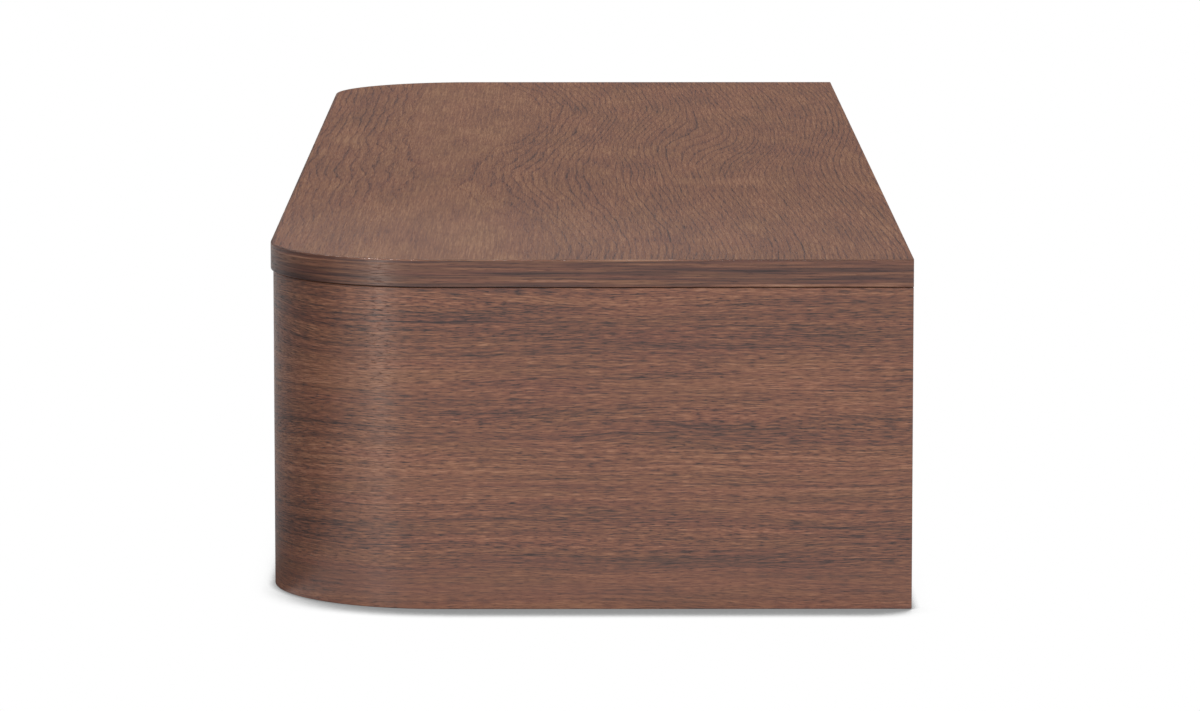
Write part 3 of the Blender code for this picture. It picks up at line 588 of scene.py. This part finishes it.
plywood_bent, tree, shader = start_material("birch_plywood_bent_edge")
bent_place = add(tree, "UVMap", uv_map="veneer")
bent_depth = add(tree, "SeparateXYZ", {"Vector": bent_place}).outputs["Y"]
pores = pore_dashes(tree, bent_place, 5 * MM, 0.6 * MM, 0.3)
wood_surface(tree, shader, ply_stripes(tree, bent_depth), pores, 0.6)
print("plywood materials:", len(plywood) + 1)

# %% [markdown]
# ## Lacquered birch and raw beech
#
# The drawer boxes are solid birch under a clear satin lacquer: cream wood with fine brown fibres and a soft
# silky cloud here and there. Where a board ends, the cut fibres drink the lacquer and turn darker. The
# dowels are raw beech, pinker than birch, with many short brown flecks.

# %% Birch and beech
BIRCH_COLOURS = ("b08e68", "d0b48e", "dfc8a5", "eadabd")
BEECH_COLOURS = ("8a5a3a", "b98a60", "c99c72", "d6ae86")


def lacquered_birch(along, across, thin):
    material, tree, shader = start_material(f"birch_satin_lacquer_along_{along.lower()}")
    laid = along_grain(tree, along, across, thin)[0]
    silk = grain_layer(tree, laid, 120 * MM, 26 * MM, 3.0)
    streaks = grain_layer(tree, laid, 150 * MM, 2.6 * MM, 2.0)
    fibres = grain_layer(tree, laid, 24 * MM, 0.9 * MM)
    pores = pore_dashes(tree, laid, 6 * MM, 0.6 * MM, streaks)
    end_cut = facing(tree, along)
    tone = blend_layers(tree, -0.90, [
        (silk, 0.7), (streaks, 1.0), (fibres, 1.1), (pores, -0.28), (end_cut, -0.35)])
    wood_surface(tree, shader, colour_ramp(tree, tone, BIRCH_COLOURS), pores, 0.45)
    return material


birch = {"X": lacquered_birch("X", "Z", "Y"), "Y": lacquered_birch("Y", "Z", "X")}

beech, tree, shader = start_material("beech_raw")
rod_place = add(tree, "TexCoord").outputs["Object"]
fibres = grain_layer(tree, rod_place, 12 * MM, 0.8 * MM)
flecks = pore_dashes(tree, rod_place, 2.5 * MM, 0.4 * MM, 0.5)
tone = blend_layers(tree, 0.0, [(fibres, 1.2), (flecks, -0.45)])
wood_surface(tree, shader, colour_ramp(tree, tone, BEECH_COLOURS), flecks, 0.65)
print("birch and beech materials:", len(birch) + 1)

# %% [markdown]
# ## Zinc-plated steel
#
# The runners are cold-rolled strip with a bright blue-white zinc coat. The rollers leave fine marks along
# the strip, and the coat clouds a little from place to place, so the shine isn't even. The marks are drawn
# 0.8 mm wide; the real ones are finer and would not show. The screws are zinc with a yellow passivation,
# which goes from straw to olive in small patches.

# %% Zinc
ZINC_COLOURS = ("8f9499", "b4b8bc", "c9ccce", "d6d8d9")
PASSIVATED_COLOURS = ("8f8b63", "b9a565", "cdb877", "bfae8a")
CLOUD_DULLNESS = 0.16
CLOUD_SHINE = 0.08
MARK_BUMP = 0.2


def plated_steel(name, colours, layers, mark, roughness):
    material, tree, shader = start_material(name)
    laid = along_grain(tree, "Y", "Z", "X")[0]
    shine = [(grain_layer(tree, laid, along * MM, across * MM), weight) for along, across, weight in layers]
    tone = blend_layers(tree, 0.5 - sum(weight for layer, weight in shine) / 2, shine)
    dull = add(tree, "MapRange", {
        "Value": tone, "To Min": roughness + CLOUD_DULLNESS, "To Max": roughness - CLOUD_SHINE})
    bump = add(tree, "Bump", {"Height": shine[0][0], "Strength": MARK_BUMP, "Distance": mark * MM})
    feed(tree, shader, {
        "Base Color": colour_ramp(tree, tone, colours), "Roughness": dull, "Normal": bump, "Metallic": 1.0})
    return material


zinc = plated_steel("zinc_plated_rolled_steel", ZINC_COLOURS, [(90, 0.8, 1.0), (20, 14, 0.9)], 0.05, 0.42)
screw_steel = plated_steel(
    "yellow_passivated_zinc", PASSIVATED_COLOURS, [(0.8, 0.8, 0.8), (3, 3, 1.2)], 0.03, 0.3)
print("metals:", zinc.name, screw_steel.name)

# %% [markdown]
# ## The bent ends
#
# Each end of the case is one sheet of plywood bent round the front corner. It is drawn the same way: an
# upright edge is pulled along the end, spun round the corner and pulled along the front, and the sheet then
# gets its thickness. The rear, upper and lower edges stay as cut and show the plies. The upright edge beside
# the drawer is veneered like the face.

# %% Bend a wall round the corner


def pull(wall, edge, move):
    fresh = new_verts(bmesh.ops.extrude_edge_only(wall, edges=[edge]))
    bmesh.ops.translate(wall, vec=move, verts=fresh)
    return next(item for item in fresh[0].link_edges if item.other_vert(fresh[0]) == fresh[1])


def turn(wall, edge, centre):
    spun = bmesh.ops.spin(
        wall,
        geom=[edge, *edge.verts],
        cent=centre,
        axis=(0.0, 0.0, 1.0),
        angle=-math.pi / 2,
        steps=CORNER_STEPS,
        use_merge=False,
    )["geom_last"]
    return next(item for item in spun if isinstance(item, bmesh.types.BMEdge))


def bent_wall(offset, low, high, thickness, front_end):
    wall = bmesh.new()
    rear = [wall.verts.new((case_end + offset, 0.0, level)) for level in (low, high)]
    edge = pull(wall, wall.edges.new(rear), Vector((0.0, corner.y, 0.0)))
    edge = turn(wall, edge, (corner.x, corner.y, 0.0))
    edge = pull(wall, edge, Vector((front_end - corner.x, 0.0, 0.0)))
    if front_end < 0:
        edge = turn(wall, edge, (-corner.x, corner.y, 0.0))
        pull(wall, edge, Vector((0.0, -corner.y, 0.0)))
    bmesh.ops.remove_doubles(wall, verts=wall.verts, dist=TINY)
    bmesh.ops.recalc_face_normals(wall, faces=wall.faces)
    face = max(wall.faces, key=lambda item: item.calc_center_median().x)
    if face.normal.x < 0:
        bmesh.ops.reverse_faces(wall, faces=wall.faces)
    bmesh.ops.solidify(wall, geom=wall.faces, thickness=thickness)
    return wall


# %% Veneered ends


def bare_edge(face):
    middle = face.calc_center_median()
    eased = BOARD_EASE * 1.2
    inside = eased < depth_in(middle.x, middle.y) < shell_thickness - eased
    return inside and (abs(face.normal.z) > SQUARE_ON or face.normal.y > SQUARE_ON)


for side, name in ((1, "right"), (-1, "left")):
    shell = bent_wall(0.0, shell_low.z, shell_high.z, shell_thickness, shell_low.x)
    round_edges(shell, sharp_edges(shell), BOARD_EASE)
    if side < 0:
        bmesh.ops.scale(shell, vec=(-1.0, 1.0, 1.0), verts=shell.verts)
    bmesh.ops.recalc_face_normals(shell, faces=shell.faces)
    for face in shell.faces:
        face.material_index = PLY_EDGE if bare_edge(face) else 0
    wrap_veneer(shell)
    materials = [walnut, plywood_bent]
    finish_piece(f"veneered_end_{name}", shell, materials, "case", [f"end_shell_{name}"])

# %% [markdown]
# ## The top
#
# The top is a veneered board with a thin solid band round its front and ends. The band is bent like the
# ends, all the way round, and only its outer edges are eased, so that it lies flush with the board. The
# board's outline is a rectangle whose two front corners are rounded, and its rear edge, which goes against
# the wall, shows the plies.

# %% Edge band
band = bent_wall(overhang, band_low.z, band_high.z, band_thickness, -corner.x)
outer = [edge for edge in sharp_edges(band)
         if all(depth_in(vert.co.x, vert.co.y) < -overhang / 2 for vert in edge.verts)]
round_edges(band, outer, TOP_EASE, 4)
wrap_veneer(band)
finish_piece("top_banding", band, [walnut_edge], "case", ["top_edge_band"])

# %% Top board
board = bmesh.new()
reach = panel_high.x
outline = [(reach, 0.0), (-reach, 0.0), (-reach, panel_low.y), (reach, panel_low.y)]
corners = [board.verts.new((x, y, panel_high.z)) for x, y in outline]
board.faces.new(corners)
bmesh.ops.bevel(
    board,
    geom=corners[2:],
    offset=CORNER_RADIUS + overhang - band_thickness,
    offset_type="OFFSET",
    affect="VERTICES",
    segments=CORNER_STEPS,
    profile=0.5,
    material=-1,
)
lower = new_verts(bmesh.ops.extrude_face_region(board, geom=list(board.faces)))
bmesh.ops.translate(board, vec=(0.0, 0.0, panel_low.z - panel_high.z), verts=lower)
for face in faces_at(board, 1, 0.0):
    face.material_index = PLY_EDGE
finish_piece("veneered_top", board, [walnut_top, plywood["Z"]], "case", ["top_panel"])

# %% [markdown]
# ## Drawer fronts
#
# There are no handles. The fingers go through a notch in the bottom board and pull behind the front, so a
# round groove is milled in its rear, near its lower edge. The front is a box with eased edges. Its rear face
# is split round the groove, the middle is pushed in, split into strips, and the strips follow the cutter's
# arc.

# %% Fronts with a pull groove
PULL_LENGTH = 200 * MM
PULL_RADIUS = 9 * MM
PULL_DEPTH = 6 * MM
PULL_HEIGHT = 15 * MM
PULL_STEPS = 10
PULL_START = 0.2 * MM
pull_half = math.sqrt(PULL_RADIUS ** 2 - (PULL_RADIUS - PULL_DEPTH) ** 2)


def mill_groove(front, rear, middle):
    for sign in (-1, 1):
        end = (middle.x + sign * PULL_LENGTH / 2, 0.0, 0.0)
        split_faces(front, faces_at(front, 1, rear), end, (1.0, 0.0, 0.0))
    for sign in (-1, 1):
        edge = (0.0, 0.0, middle.z + sign * pull_half)
        split_faces(front, faces_at(front, 1, rear), edge, (0.0, 0.0, 1.0))
    strip = min(faces_at(front, 1, rear), key=lambda face: (face.calc_center_median() - middle).length)
    inner = new_verts(bmesh.ops.extrude_face_region(front, geom=[strip]))
    bmesh.ops.translate(front, vec=(0.0, -PULL_START, 0.0), verts=inner)
    for step in range(1, PULL_STEPS):
        level = (0.0, 0.0, middle.z + pull_half * math.cos(math.pi * step / PULL_STEPS))
        split_faces(front, faces_at(front, 1, rear - PULL_START), level, (0.0, 0.0, 1.0))
    strips = faces_at(front, 1, rear - PULL_START)
    for vert in {vert for face in strips for vert in face.verts}:
        rise = math.sqrt(PULL_RADIUS ** 2 - (vert.co.z - middle.z) ** 2)
        vert.co.y -= rise - (PULL_RADIUS - PULL_DEPTH)


for name in ("left", "right"):
    low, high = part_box(f"drawer_{name}_front")
    box_low, box_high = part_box(f"drawer_{name}_bottom")
    front = bmesh.new()
    place = Matrix.Translation((low + high) / 2) @ Matrix.Diagonal((*(high - low), 1.0))
    bmesh.ops.create_cube(front, size=1.0, matrix=place)
    round_edges(front, sharp_edges(front), BOARD_EASE)
    mill_groove(front, high.y, Vector(((box_low.x + box_high.x) / 2, high.y, low.z + PULL_HEIGHT)))
    wrap_veneer(front)
    body = f"drawer_{name}"
    finish_piece(f"veneered_front_{name}", front, [walnut], body, [f"drawer_{name}_front"])

# %% [markdown]
# ## Runners
#
# A runner is three nested channels of rolled sheet. Each one starts as the line of its section, which is
# pulled along the runner's length. The two bends are rounded as the rollers leave them, screw holes are
# punched in the web, and last the sheet gets its thickness, so that the holes have walls.

# %% Rolled channels
SHEET = 1.2 * MM
BEND_RADIUS = 2.4 * MM
HOLE_RADIUS = 2.3 * MM
HOLE_ROOM = 4.0 * MM
HOLE_SIDES = 16
HOLE_PLACES = {
    "case": (20, 52, 148, 244, 282),
    "middle": (75, 150, 225),
    "drawer": (14, 46, 142, 238, 286),
}


def punch_hole(sheet, web, place):
    for axis in (Vector((0.0, 1.0, 0.0)), Vector((0.0, 0.0, 1.0))):
        for sign in (-1, 1):
            split_faces(sheet, faces_at(sheet, 0, web), place + sign * HOLE_ROOM * axis, axis)
    plate = min(faces_at(sheet, 0, web), key=lambda face: (face.calc_center_median() - place).length)
    frame_edges = list(plate.edges)
    bmesh.ops.delete(sheet, geom=[plate], context="FACES_ONLY")
    turned = Matrix.Translation(place) @ Matrix.Rotation(math.pi / 2, 4, "Y")
    ring = bmesh.ops.create_circle(sheet, segments=HOLE_SIDES, radius=HOLE_RADIUS, matrix=turned)["verts"]
    ring_edges = {edge for vert in ring for edge in vert.link_edges}
    bmesh.ops.bridge_loops(sheet, edges=frame_edges + list(ring_edges))


def rolled_channel(node, web_side, hole_places):
    low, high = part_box(node)
    web, lip = (high.x, low.x) if web_side > 0 else (low.x, high.x)
    sheet = bmesh.new()
    section = [(lip, low.z), (web, low.z), (web, high.z), (lip, high.z)]
    verts = [sheet.verts.new((x, low.y, z)) for x, z in section]
    edges = [sheet.edges.new(pair) for pair in zip(verts, verts[1:])]
    far = new_verts(bmesh.ops.extrude_edge_only(sheet, edges=edges))
    bmesh.ops.translate(sheet, vec=(0.0, high.y - low.y, 0.0), verts=far)
    round_edges(sheet, [edge for edge in sheet.edges if len(edge.link_faces) == 2], BEND_RADIUS, 4)
    for place in hole_places:
        punch_hole(sheet, web, Vector((web, low.y + place * MM, (low.z + high.z) / 2)))
    bmesh.ops.recalc_face_normals(sheet, faces=sheet.faces)
    if faces_at(sheet, 0, web)[0].normal.x * web_side < 0:
        bmesh.ops.reverse_faces(sheet, faces=sheet.faces)
    bmesh.ops.solidify(sheet, geom=sheet.faces, thickness=SHEET)
    return sheet


for hand, side in ((1, "right"), (-1, "left")):
    for reach, which in ((1, "outer"), (-1, "inner")):
        runner = f"runner_{side}_{which}"
        members = (
            ("case", hand * reach, "case"),
            ("middle", hand * reach, f"{runner}_middle"),
            ("drawer", -hand * reach, f"drawer_{side}"),
        )
        for member, web_side, body in members:
            node = f"{runner}_{member}_member"
            sheet = rolled_channel(node, web_side, HOLE_PLACES[member])
            finish_piece(f"rolled_{side}_{which}_{member}", sheet, [zinc], body, [node])

# %% [markdown]
# ## Screws
#
# A screw is turned on a lathe, so its outline is spun round its axis. The cross recess is a plus-shaped face
# in the head, joined to the rim and pushed down, narrower at its floor so that the driver centres itself.
# The thread is a small triangle that climbs as it is spun.

# %% Pan-head screws
HEAD_RADIUS = 4.0 * MM
CROWN_RADIUS = 2.8 * MM
RECESS_RADIUS = 2.3 * MM
HEAD_HEIGHT = 2.2 * MM
RIM_DROP = 0.9 * MM
SHOULDER_RADIUS = 0.93 * HEAD_RADIUS
SHOULDER_DROP = 0.45 * RIM_DROP
CORE_RADIUS = 1.45 * MM
THREAD_RADIUS = 2.0 * MM
THREAD_ROOT = 0.8 * CORE_RADIUS
THREAD_WIDTH = 1.0 * MM
THREAD_PITCH = 1.8 * MM
THREAD_SHARE = 0.62
POINT_LENGTH = 3.0 * MM
THREAD_START = 0.7 * POINT_LENGTH
SCREW_SIDES = 20
CROSS_ARM = 1.9 * MM
CROSS_HALF = 0.45 * MM
CROSS_DEPTH = 1.3 * MM
CROSS_TAPER = 0.6


def spin_round(shape, points, closed, turns, climb):
    verts = [shape.verts.new((radius, 0.0, height)) for radius, height in points]
    pairs = list(zip(verts, verts[1:])) + ([(verts[-1], verts[0])] if closed else [])
    edges = [shape.edges.new(pair) for pair in pairs]
    bmesh.ops.spin(
        shape,
        geom=verts + edges,
        cent=(0.0, 0.0, 0.0),
        axis=(0.0, 0.0, 1.0),
        dvec=(0.0, 0.0, climb / SCREW_SIDES),
        angle=2 * math.pi * turns,
        steps=SCREW_SIDES * turns,
        use_merge=not closed,
    )


def pan_head_screw(length):
    screw = bmesh.new()
    spin_round(screw, [
        (0.0, -length),
        (CORE_RADIUS, POINT_LENGTH - length),
        (CORE_RADIUS, -HEAD_HEIGHT),
        (HEAD_RADIUS, -HEAD_HEIGHT),
        (HEAD_RADIUS, -RIM_DROP),
        (SHOULDER_RADIUS, -SHOULDER_DROP),
        (CROWN_RADIUS, 0.0),
        (RECESS_RADIUS, 0.0),
    ], False, 1, 0.0)
    bmesh.ops.remove_doubles(screw, verts=screw.verts, dist=TINY)
    rim = [edge for edge in screw.edges if edge.is_boundary]
    cross = []
    for quarter in range(4):
        turned = Matrix.Rotation(quarter * math.pi / 2, 3, "Z")
        for x, y in ((CROSS_ARM, -CROSS_HALF), (CROSS_ARM, CROSS_HALF), (CROSS_HALF, CROSS_HALF)):
            cross.append(screw.verts.new(turned @ Vector((x, y, 0.0))))
    recess = screw.faces.new(cross)
    bmesh.ops.bridge_loops(screw, edges=rim + list(recess.edges))
    floor_verts = new_verts(bmesh.ops.extrude_face_region(screw, geom=[recess]))
    bmesh.ops.scale(screw, vec=(CROSS_TAPER, CROSS_TAPER, 1.0), verts=floor_verts)
    bmesh.ops.translate(screw, vec=(0.0, 0.0, -CROSS_DEPTH), verts=floor_verts)

    turns = int(THREAD_SHARE * (length - HEAD_HEIGHT) / THREAD_PITCH)
    start = THREAD_START - length
    crest = (THREAD_RADIUS, start + THREAD_WIDTH / 2)
    tooth = [(THREAD_ROOT, start), crest, (THREAD_ROOT, start + THREAD_WIDTH)]
    spin_round(screw, tooth, True, turns, THREAD_PITCH)
    bmesh.ops.holes_fill(screw, edges=[edge for edge in screw.edges if edge.is_boundary], sides=3)
    return screw


def place_screw(node, heading, body):
    low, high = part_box(node)
    heading = Vector(heading)
    length = abs((high - low).dot(heading))
    top = (low + high) / 2 + heading * length / 2
    screw = pan_head_screw(length)
    turned = Vector((0.0, 0.0, 1.0)).rotation_difference(heading).to_matrix().to_4x4()
    bmesh.ops.transform(screw, matrix=Matrix.Translation(top) @ turned, verts=screw.verts)
    finish_piece(f"cross_head_{node}", screw, [screw_steel], body, [node])


DOWN = (0.0, 0.0, -1.0)
TO_WALL = (0.0, 1.0, 0.0)
for kind, heading, count in (("top", DOWN, 4), ("case", DOWN, 6), ("cleat", TO_WALL, 4)):
    for index in range(1, count + 1):
        place_screw(f"{kind}_screw_{index}", heading, "case")
for side in ("left", "right"):
    for index in (1, 2):
        place_screw(f"drawer_{side}_screw_{index}", TO_WALL, f"drawer_{side}")

# %% [markdown]
# ## Dowels
#
# The dowels that tie the ends to the bottom board are fluted, so that glue can rise along them. A circle
# gets every third point drawn in, is pulled to a rod and chamfered at both ends.

# %% Fluted dowels
FLUTE = 0.93
FLUTE_POINTS = 48
DOWEL_CHAMFER = 0.8 * MM


def fluted_dowel(node):
    low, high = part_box(node)
    middle = (low + high) / 2
    end = Vector((low.x, middle.y, middle.z))
    turned = Matrix.Translation(end) @ Matrix.Rotation(math.pi / 2, 4, "Y")
    rod = bmesh.new()
    ring = bmesh.ops.create_circle(
        rod, cap_ends=True, segments=FLUTE_POINTS, radius=(high.z - low.z) / 2, matrix=turned)["verts"]
    bmesh.ops.scale(rod, vec=(1.0, FLUTE, FLUTE), space=Matrix.Translation(-end), verts=ring[::3])
    far = new_verts(bmesh.ops.extrude_face_region(rod, geom=list(rod.faces)))
    bmesh.ops.translate(rod, vec=(high.x - low.x, 0.0, 0.0), verts=far)
    rims = {edge for x in (low.x, high.x) for face in faces_at(rod, 0, x) for edge in face.edges}
    round_edges(rod, list(rims), DOWEL_CHAMFER, 1)
    return rod


for side in ("left", "right"):
    for index in (1, 2):
        node = f"case_dowel_{side}_{index}"
        finish_piece(f"fluted_{side}_{index}", fluted_dowel(node), [beech], "case", [node])

# %% [markdown]
# ## Finishes on the CAD boards
#
# The other boards are right as they are in CAD and only need their finish. The thinnest side of a board's
# box says where its plies show, and its longest side says which way the grain runs.

# %% Finishes by slot
one_finish = {
    "beech": beech,
    "zinc_steel": zinc,
    "screw_steel": screw_steel,
    "walnut_panel": walnut_under,
    "walnut_veneer": walnut_top,
    "walnut_edge": walnut_edge,
}
for subpart in frame["record"]["subparts"]:
    low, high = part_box(subpart["node"])
    sizes = list(high - low)
    slot = subpart["material_slot"]
    if slot == "plywood":
        finish = plywood["XYZ"[sizes.index(min(sizes))]]
    elif slot == "birch":
        finish = birch["XYZ"[sizes.index(max(sizes))]]
    else:
        finish = one_finish[slot]
    mesh = nodes[subpart["node"]].data
    mesh.materials.clear()
    mesh.materials.append(finish)

# %% [markdown]
# ## Floor
#
# The floor is white paper just under the table. A plain white emission shows it as paper to the camera and
# to glossy and see-through surfaces, and Ambient Occlusion darkens it where the table stands close above,
# which is the contact shadow. At the near end the occlusion looks outwards and not straight up, so that the
# shadow is soft there, and all round a short one draws the thin line at the foot. Right under the table no
# light comes in and the paper is dark. From below it is see-through, so that the underside can be looked at.
# A gloss sees the paper in steps: full at the right end, hardly at all round the corner, where it ends
# sooner, and more again in front of the drawers and past the left end.

# %% Floor
FLOOR_GAP = 0.4 * MM
FLOOR_HALF = 30.0
floor_shape = bmesh.new()
bmesh.ops.create_grid(floor_shape, x_segments=1, y_segments=1, size=FLOOR_HALF)
bmesh.ops.translate(floor_shape, vec=(0.0, 0.0, shell_low.z - FLOOR_GAP), verts=floor_shape.verts)
floor_mesh = bpy.data.meshes.new("floor")
floor_shape.to_mesh(floor_mesh)
floor_shape.free()
floor = bpy.data.objects.new("floor", floor_mesh)
bpy.context.scene.collection.objects.link(floor)
floor.visible_diffuse = False
floor.visible_shadow = False
print("floor at", round(shell_low.z - FLOOR_GAP, 4))

# %% White paper
SHADOW_REACH = 36 * MM
LINE_REACH = 12 * MM
OUTWARDS = 0.985
UPWARDS = 0.174
SHADE_SAMPLES = 16
GLEAM_STEPS = ((66, 74, 1.0, 0.08), (105, 135, 0.0, 0.24), (148, 164, 0.0, 0.35))
STRIP_HALF = 60 * MM
STRIP_FADE = 160 * MM
UNDER_SHADE = 0.12
UNDER_FRONT = 3 * MM

paper, tree, shader = start_material("white_paper_floor")
tree.nodes.remove(shader)
aside = add(tree, "CombineXYZ", {"X": -OUTWARDS, "Z": UPWARDS})
near = add(tree, "AmbientOcclusion", {"Distance": SHADOW_REACH, "Normal": aside}, samples=SHADE_SAMPLES)
round_about = add(tree, "AmbientOcclusion", {"Distance": LINE_REACH}, samples=SHADE_SAMPLES)
dark = 1.0
for openness, clear_from, darkest in ((near, 0.79, 0.28), (round_about, 0.75, 0.4)):
    shade = add(tree, "MapRange", {
        "Value": openness.outputs["AO"], "From Min": 0.5, "From Max": clear_from, "To Min": darkest},
        interpolation_type="SMOOTHSTEP")
    dark = add(tree, "Math", {0: dark, 1: shade}, operation="MINIMUM")
floor_place = add(tree, "TexCoord").outputs["Object"]
part = add(tree, "SeparateXYZ", {"Vector": floor_place})
ahead = add(tree, "Math", {0: part.outputs["X"], 1: corner.x}, operation="SUBTRACT")
aleft = add(tree, "Math", {0: corner.y, 1: part.outputs["Y"]}, operation="SUBTRACT")
bearing = add(tree, "Math", {0: aleft, 1: ahead}, operation="ARCTAN2")
gleam = 0.0
for start, end, before, after in GLEAM_STEPS:
    step = add(tree, "MapRange", {
        "Value": bearing, "From Min": math.radians(start), "From Max": math.radians(end),
        "To Min": before, "To Max": after})
    gleam = blend_layers(tree, gleam, [(step, 1.0)])
off_end = away_from(tree, part.outputs["X"], -case_end - STRIP_HALF)
beyond = add(tree, "MapRange", {
    "Value": off_end, "From Min": STRIP_HALF, "From Max": STRIP_FADE, "To Min": 1.0, "To Max": 0.0})
gleam = add(tree, "Math", {0: gleam, 1: beyond}, operation="MAXIMUM")
wide = away_from(tree, part.outputs["X"], 0.0)
deep = away_from(tree, part.outputs["Y"], case_front / 2)
outside = add(tree, "Math", {0: wide, 1: corner.x}, operation="GREATER_THAN")
around = add(tree, "Math", {0: deep, 1: -case_front / 2 - UNDER_FRONT}, operation="GREATER_THAN")
bare = add(tree, "Math", {0: outside, 1: around}, operation="MAXIMUM")
to_camera = add(tree, "MapRange", {"Value": bare, "To Min": UNDER_SHADE})
path = add(tree, "LightPath")
shown = add(tree, "Mix", {
    "Factor": path.outputs["Is Camera Ray"], "A": gleam, "B": to_camera}, data_type="FLOAT")
level = add(tree, "Math", {0: dark, 1: shown}, operation="MULTIPLY")
white = add(tree, "Emission", {"Color": level, "Strength": 1.0})
clear = add(tree, "BsdfTransparent")
below = add(tree, "NewGeometry").outputs["Backfacing"]
seen = add(tree, "MixShader", {0: below, 1: white, 2: clear})
feed(tree, tree.nodes["Material Output"], {"Surface": seen})
paper.cycles.emission_sampling = "NONE"
floor_mesh.materials.append(paper)
print("paper nodes:", len(tree.nodes))

# %% [markdown]
# ## World
#
# The world is white to the camera. For light it is weak: a little from above, and more from below, as a pale
# floor gives it back. In a gloss it is a white horizon with a dimmer room above it, darkest at the far end
# and in front, so that the top and the round corner keep their colour at a low angle.

# %% World
ROOM_LIGHT = 0.15
FLOOR_LIGHT = 0.28
ROOM_GLOSS = 0.40
DIM_GLOSS = 0.20
BRIGHT_SIDE = (0.6, 0.8, 0.0)
world = bpy.data.worlds.new("studio")
bpy.context.scene.world = world
world.use_nodes = True
tree = world.node_tree
path = add(tree, "LightPath")
direction = add(tree, "TexCoord")
way = add(tree, "SeparateXYZ", {"Vector": direction.outputs["Generated"]}).outputs
light = add(tree, "MapRange", {
    "Value": way["Z"], "From Min": -0.1, "From Max": 0.1, "To Min": FLOOR_LIGHT, "To Max": ROOM_LIGHT})
bright = add(tree, "VectorMath", {
    0: direction.outputs["Generated"], 1: BRIGHT_SIDE}, operation="DOT_PRODUCT").outputs["Value"]
room = add(tree, "MapRange", {
    "Value": bright, "From Min": -0.2, "From Max": 0.6, "To Min": DIM_GLOSS, "To Max": ROOM_GLOSS})
horizon = add(tree, "MapRange", {
    "Value": bright, "From Min": -0.6, "From Max": -0.2, "To Min": DIM_GLOSS, "To Max": 1.0})
gloss = add(tree, "MapRange", {
    "Value": way["Z"], "From Min": 0.0, "From Max": 0.06, "To Min": horizon, "To Max": room})
mirrored = add(tree, "Math", {
    0: path.outputs["Is Glossy Ray"], 1: path.outputs["Is Transmission Ray"]}, operation="MAXIMUM")
level = add(tree, "Mix", {"Factor": mirrored, "A": light, "B": gloss}, data_type="FLOAT")
level = add(tree, "Mix", {
    "Factor": path.outputs["Is Camera Ray"], "A": level, "B": 1.0}, data_type="FLOAT")
feed(tree, tree.nodes["Background"], {"Strength": level, "Color": (1.0, 1.0, 1.0, 1.0)})
print("world nodes:", len(tree.nodes))

# %% [markdown]
# ## Lights
#
# A large softbox in front of the right end is the main light. A weaker twin stands in for it in a gloss, so
# that the top doesn't haze over when it is seen from the far end. A small lamp above, with a narrow beam that
# only shows in a gloss, draws a bright line along the turn of the top's edge. A warm low strip lights the
# turn of the round corner, and two weak softboxes on the far side, which don't show in a gloss, open up the
# drawer fronts, the far end and the back.

# %% Softboxes
KEY_OFFSET = Vector((5.1, 1.3, 3.2))
KEY_SIZE = 2.4
KEY_POWER = 319.0
GLINT_POWER = 80.0
FILL_SIZE = (3.2, 2.2)
FILL_POWER = 95.0


def softbox(name, place, target, width, height, power, spread=180, diffuse=True, gloss=True, tint="ffffff"):
    lamp = bpy.data.lights.new(name, "AREA")
    lamp.color = linear(tint)[:3]
    lamp.shape = "RECTANGLE"
    lamp.size = width
    lamp.size_y = height
    lamp.energy = power
    lamp.spread = math.radians(spread)
    item = bpy.data.objects.new(name, lamp)
    bpy.context.scene.collection.objects.link(item)
    item.visible_diffuse = diffuse
    item.visible_glossy = gloss
    item.location = place
    item.rotation_euler = (Vector(target) - Vector(place)).to_track_quat("-Z", "Y").to_euler()
    print(name, power, "W")


near_end = Vector((case_end, case_front / 2, 0.0))
key_place = near_end + KEY_OFFSET
softbox("key_softbox", key_place, near_end, KEY_SIZE, KEY_SIZE, KEY_POWER, gloss=False)
softbox("key_glint", key_place, near_end, KEY_SIZE, KEY_SIZE, GLINT_POWER, diffuse=False)
softbox("top_softbox", (0.53, -1.12, 1.9), (0.585, -0.315, 0.09), 0.5, 0.5, 1.0, spread=12, diffuse=False)
softbox("low_strip", (2.17, -1.70, 0.03), (0.55, -0.3, 0.0), 0.35, 0.22, 5.7, tint="ffeadc")
softbox("front_fill", (-2.6, -2.7, 1.4), (-0.1, -0.3, 0.0), *FILL_SIZE, FILL_POWER, gloss=False)
softbox("rear_fill", (-2.6, 2.7, 1.4), (-0.1, 0.0, 0.0), *FILL_SIZE, FILL_POWER, gloss=False)

# %% [markdown]
# ## Camera
#
# The camera looks almost along the table from a little above its right end, with a long lens.

# %% Camera
FOCAL_PIXELS = 6202.8
PHOTO_WIDTH = 1200
SENSOR_WIDTH = 36.0
YAW = 0.0035
PITCH = 0.12924
CAMERA_AHEAD = 3.54562
CAMERA_ACROSS = 0.51704
CAMERA_HEIGHT = 0.60908
camera_data = bpy.data.cameras.new("photo_camera")
camera = bpy.data.objects.new("photo_camera", camera_data)
bpy.context.scene.collection.objects.link(camera)
camera_data.sensor_width = SENSOR_WIDTH
camera_data.lens = FOCAL_PIXELS * SENSOR_WIDTH / PHOTO_WIDTH
sight = Vector((-math.cos(YAW) * math.cos(PITCH), math.sin(YAW) * math.cos(PITCH), -math.sin(PITCH)))
camera.location = Vector((
    case_end + CAMERA_AHEAD, case_front * CAMERA_ACROSS, shell_low.z + CAMERA_HEIGHT))
camera.rotation_euler = sight.to_track_quat("-Z", "Y").to_euler()
bpy.context.scene.camera = camera
bpy.context.scene.view_settings.view_transform = "Standard"
print("lens", round(camera_data.lens, 1), "mm")
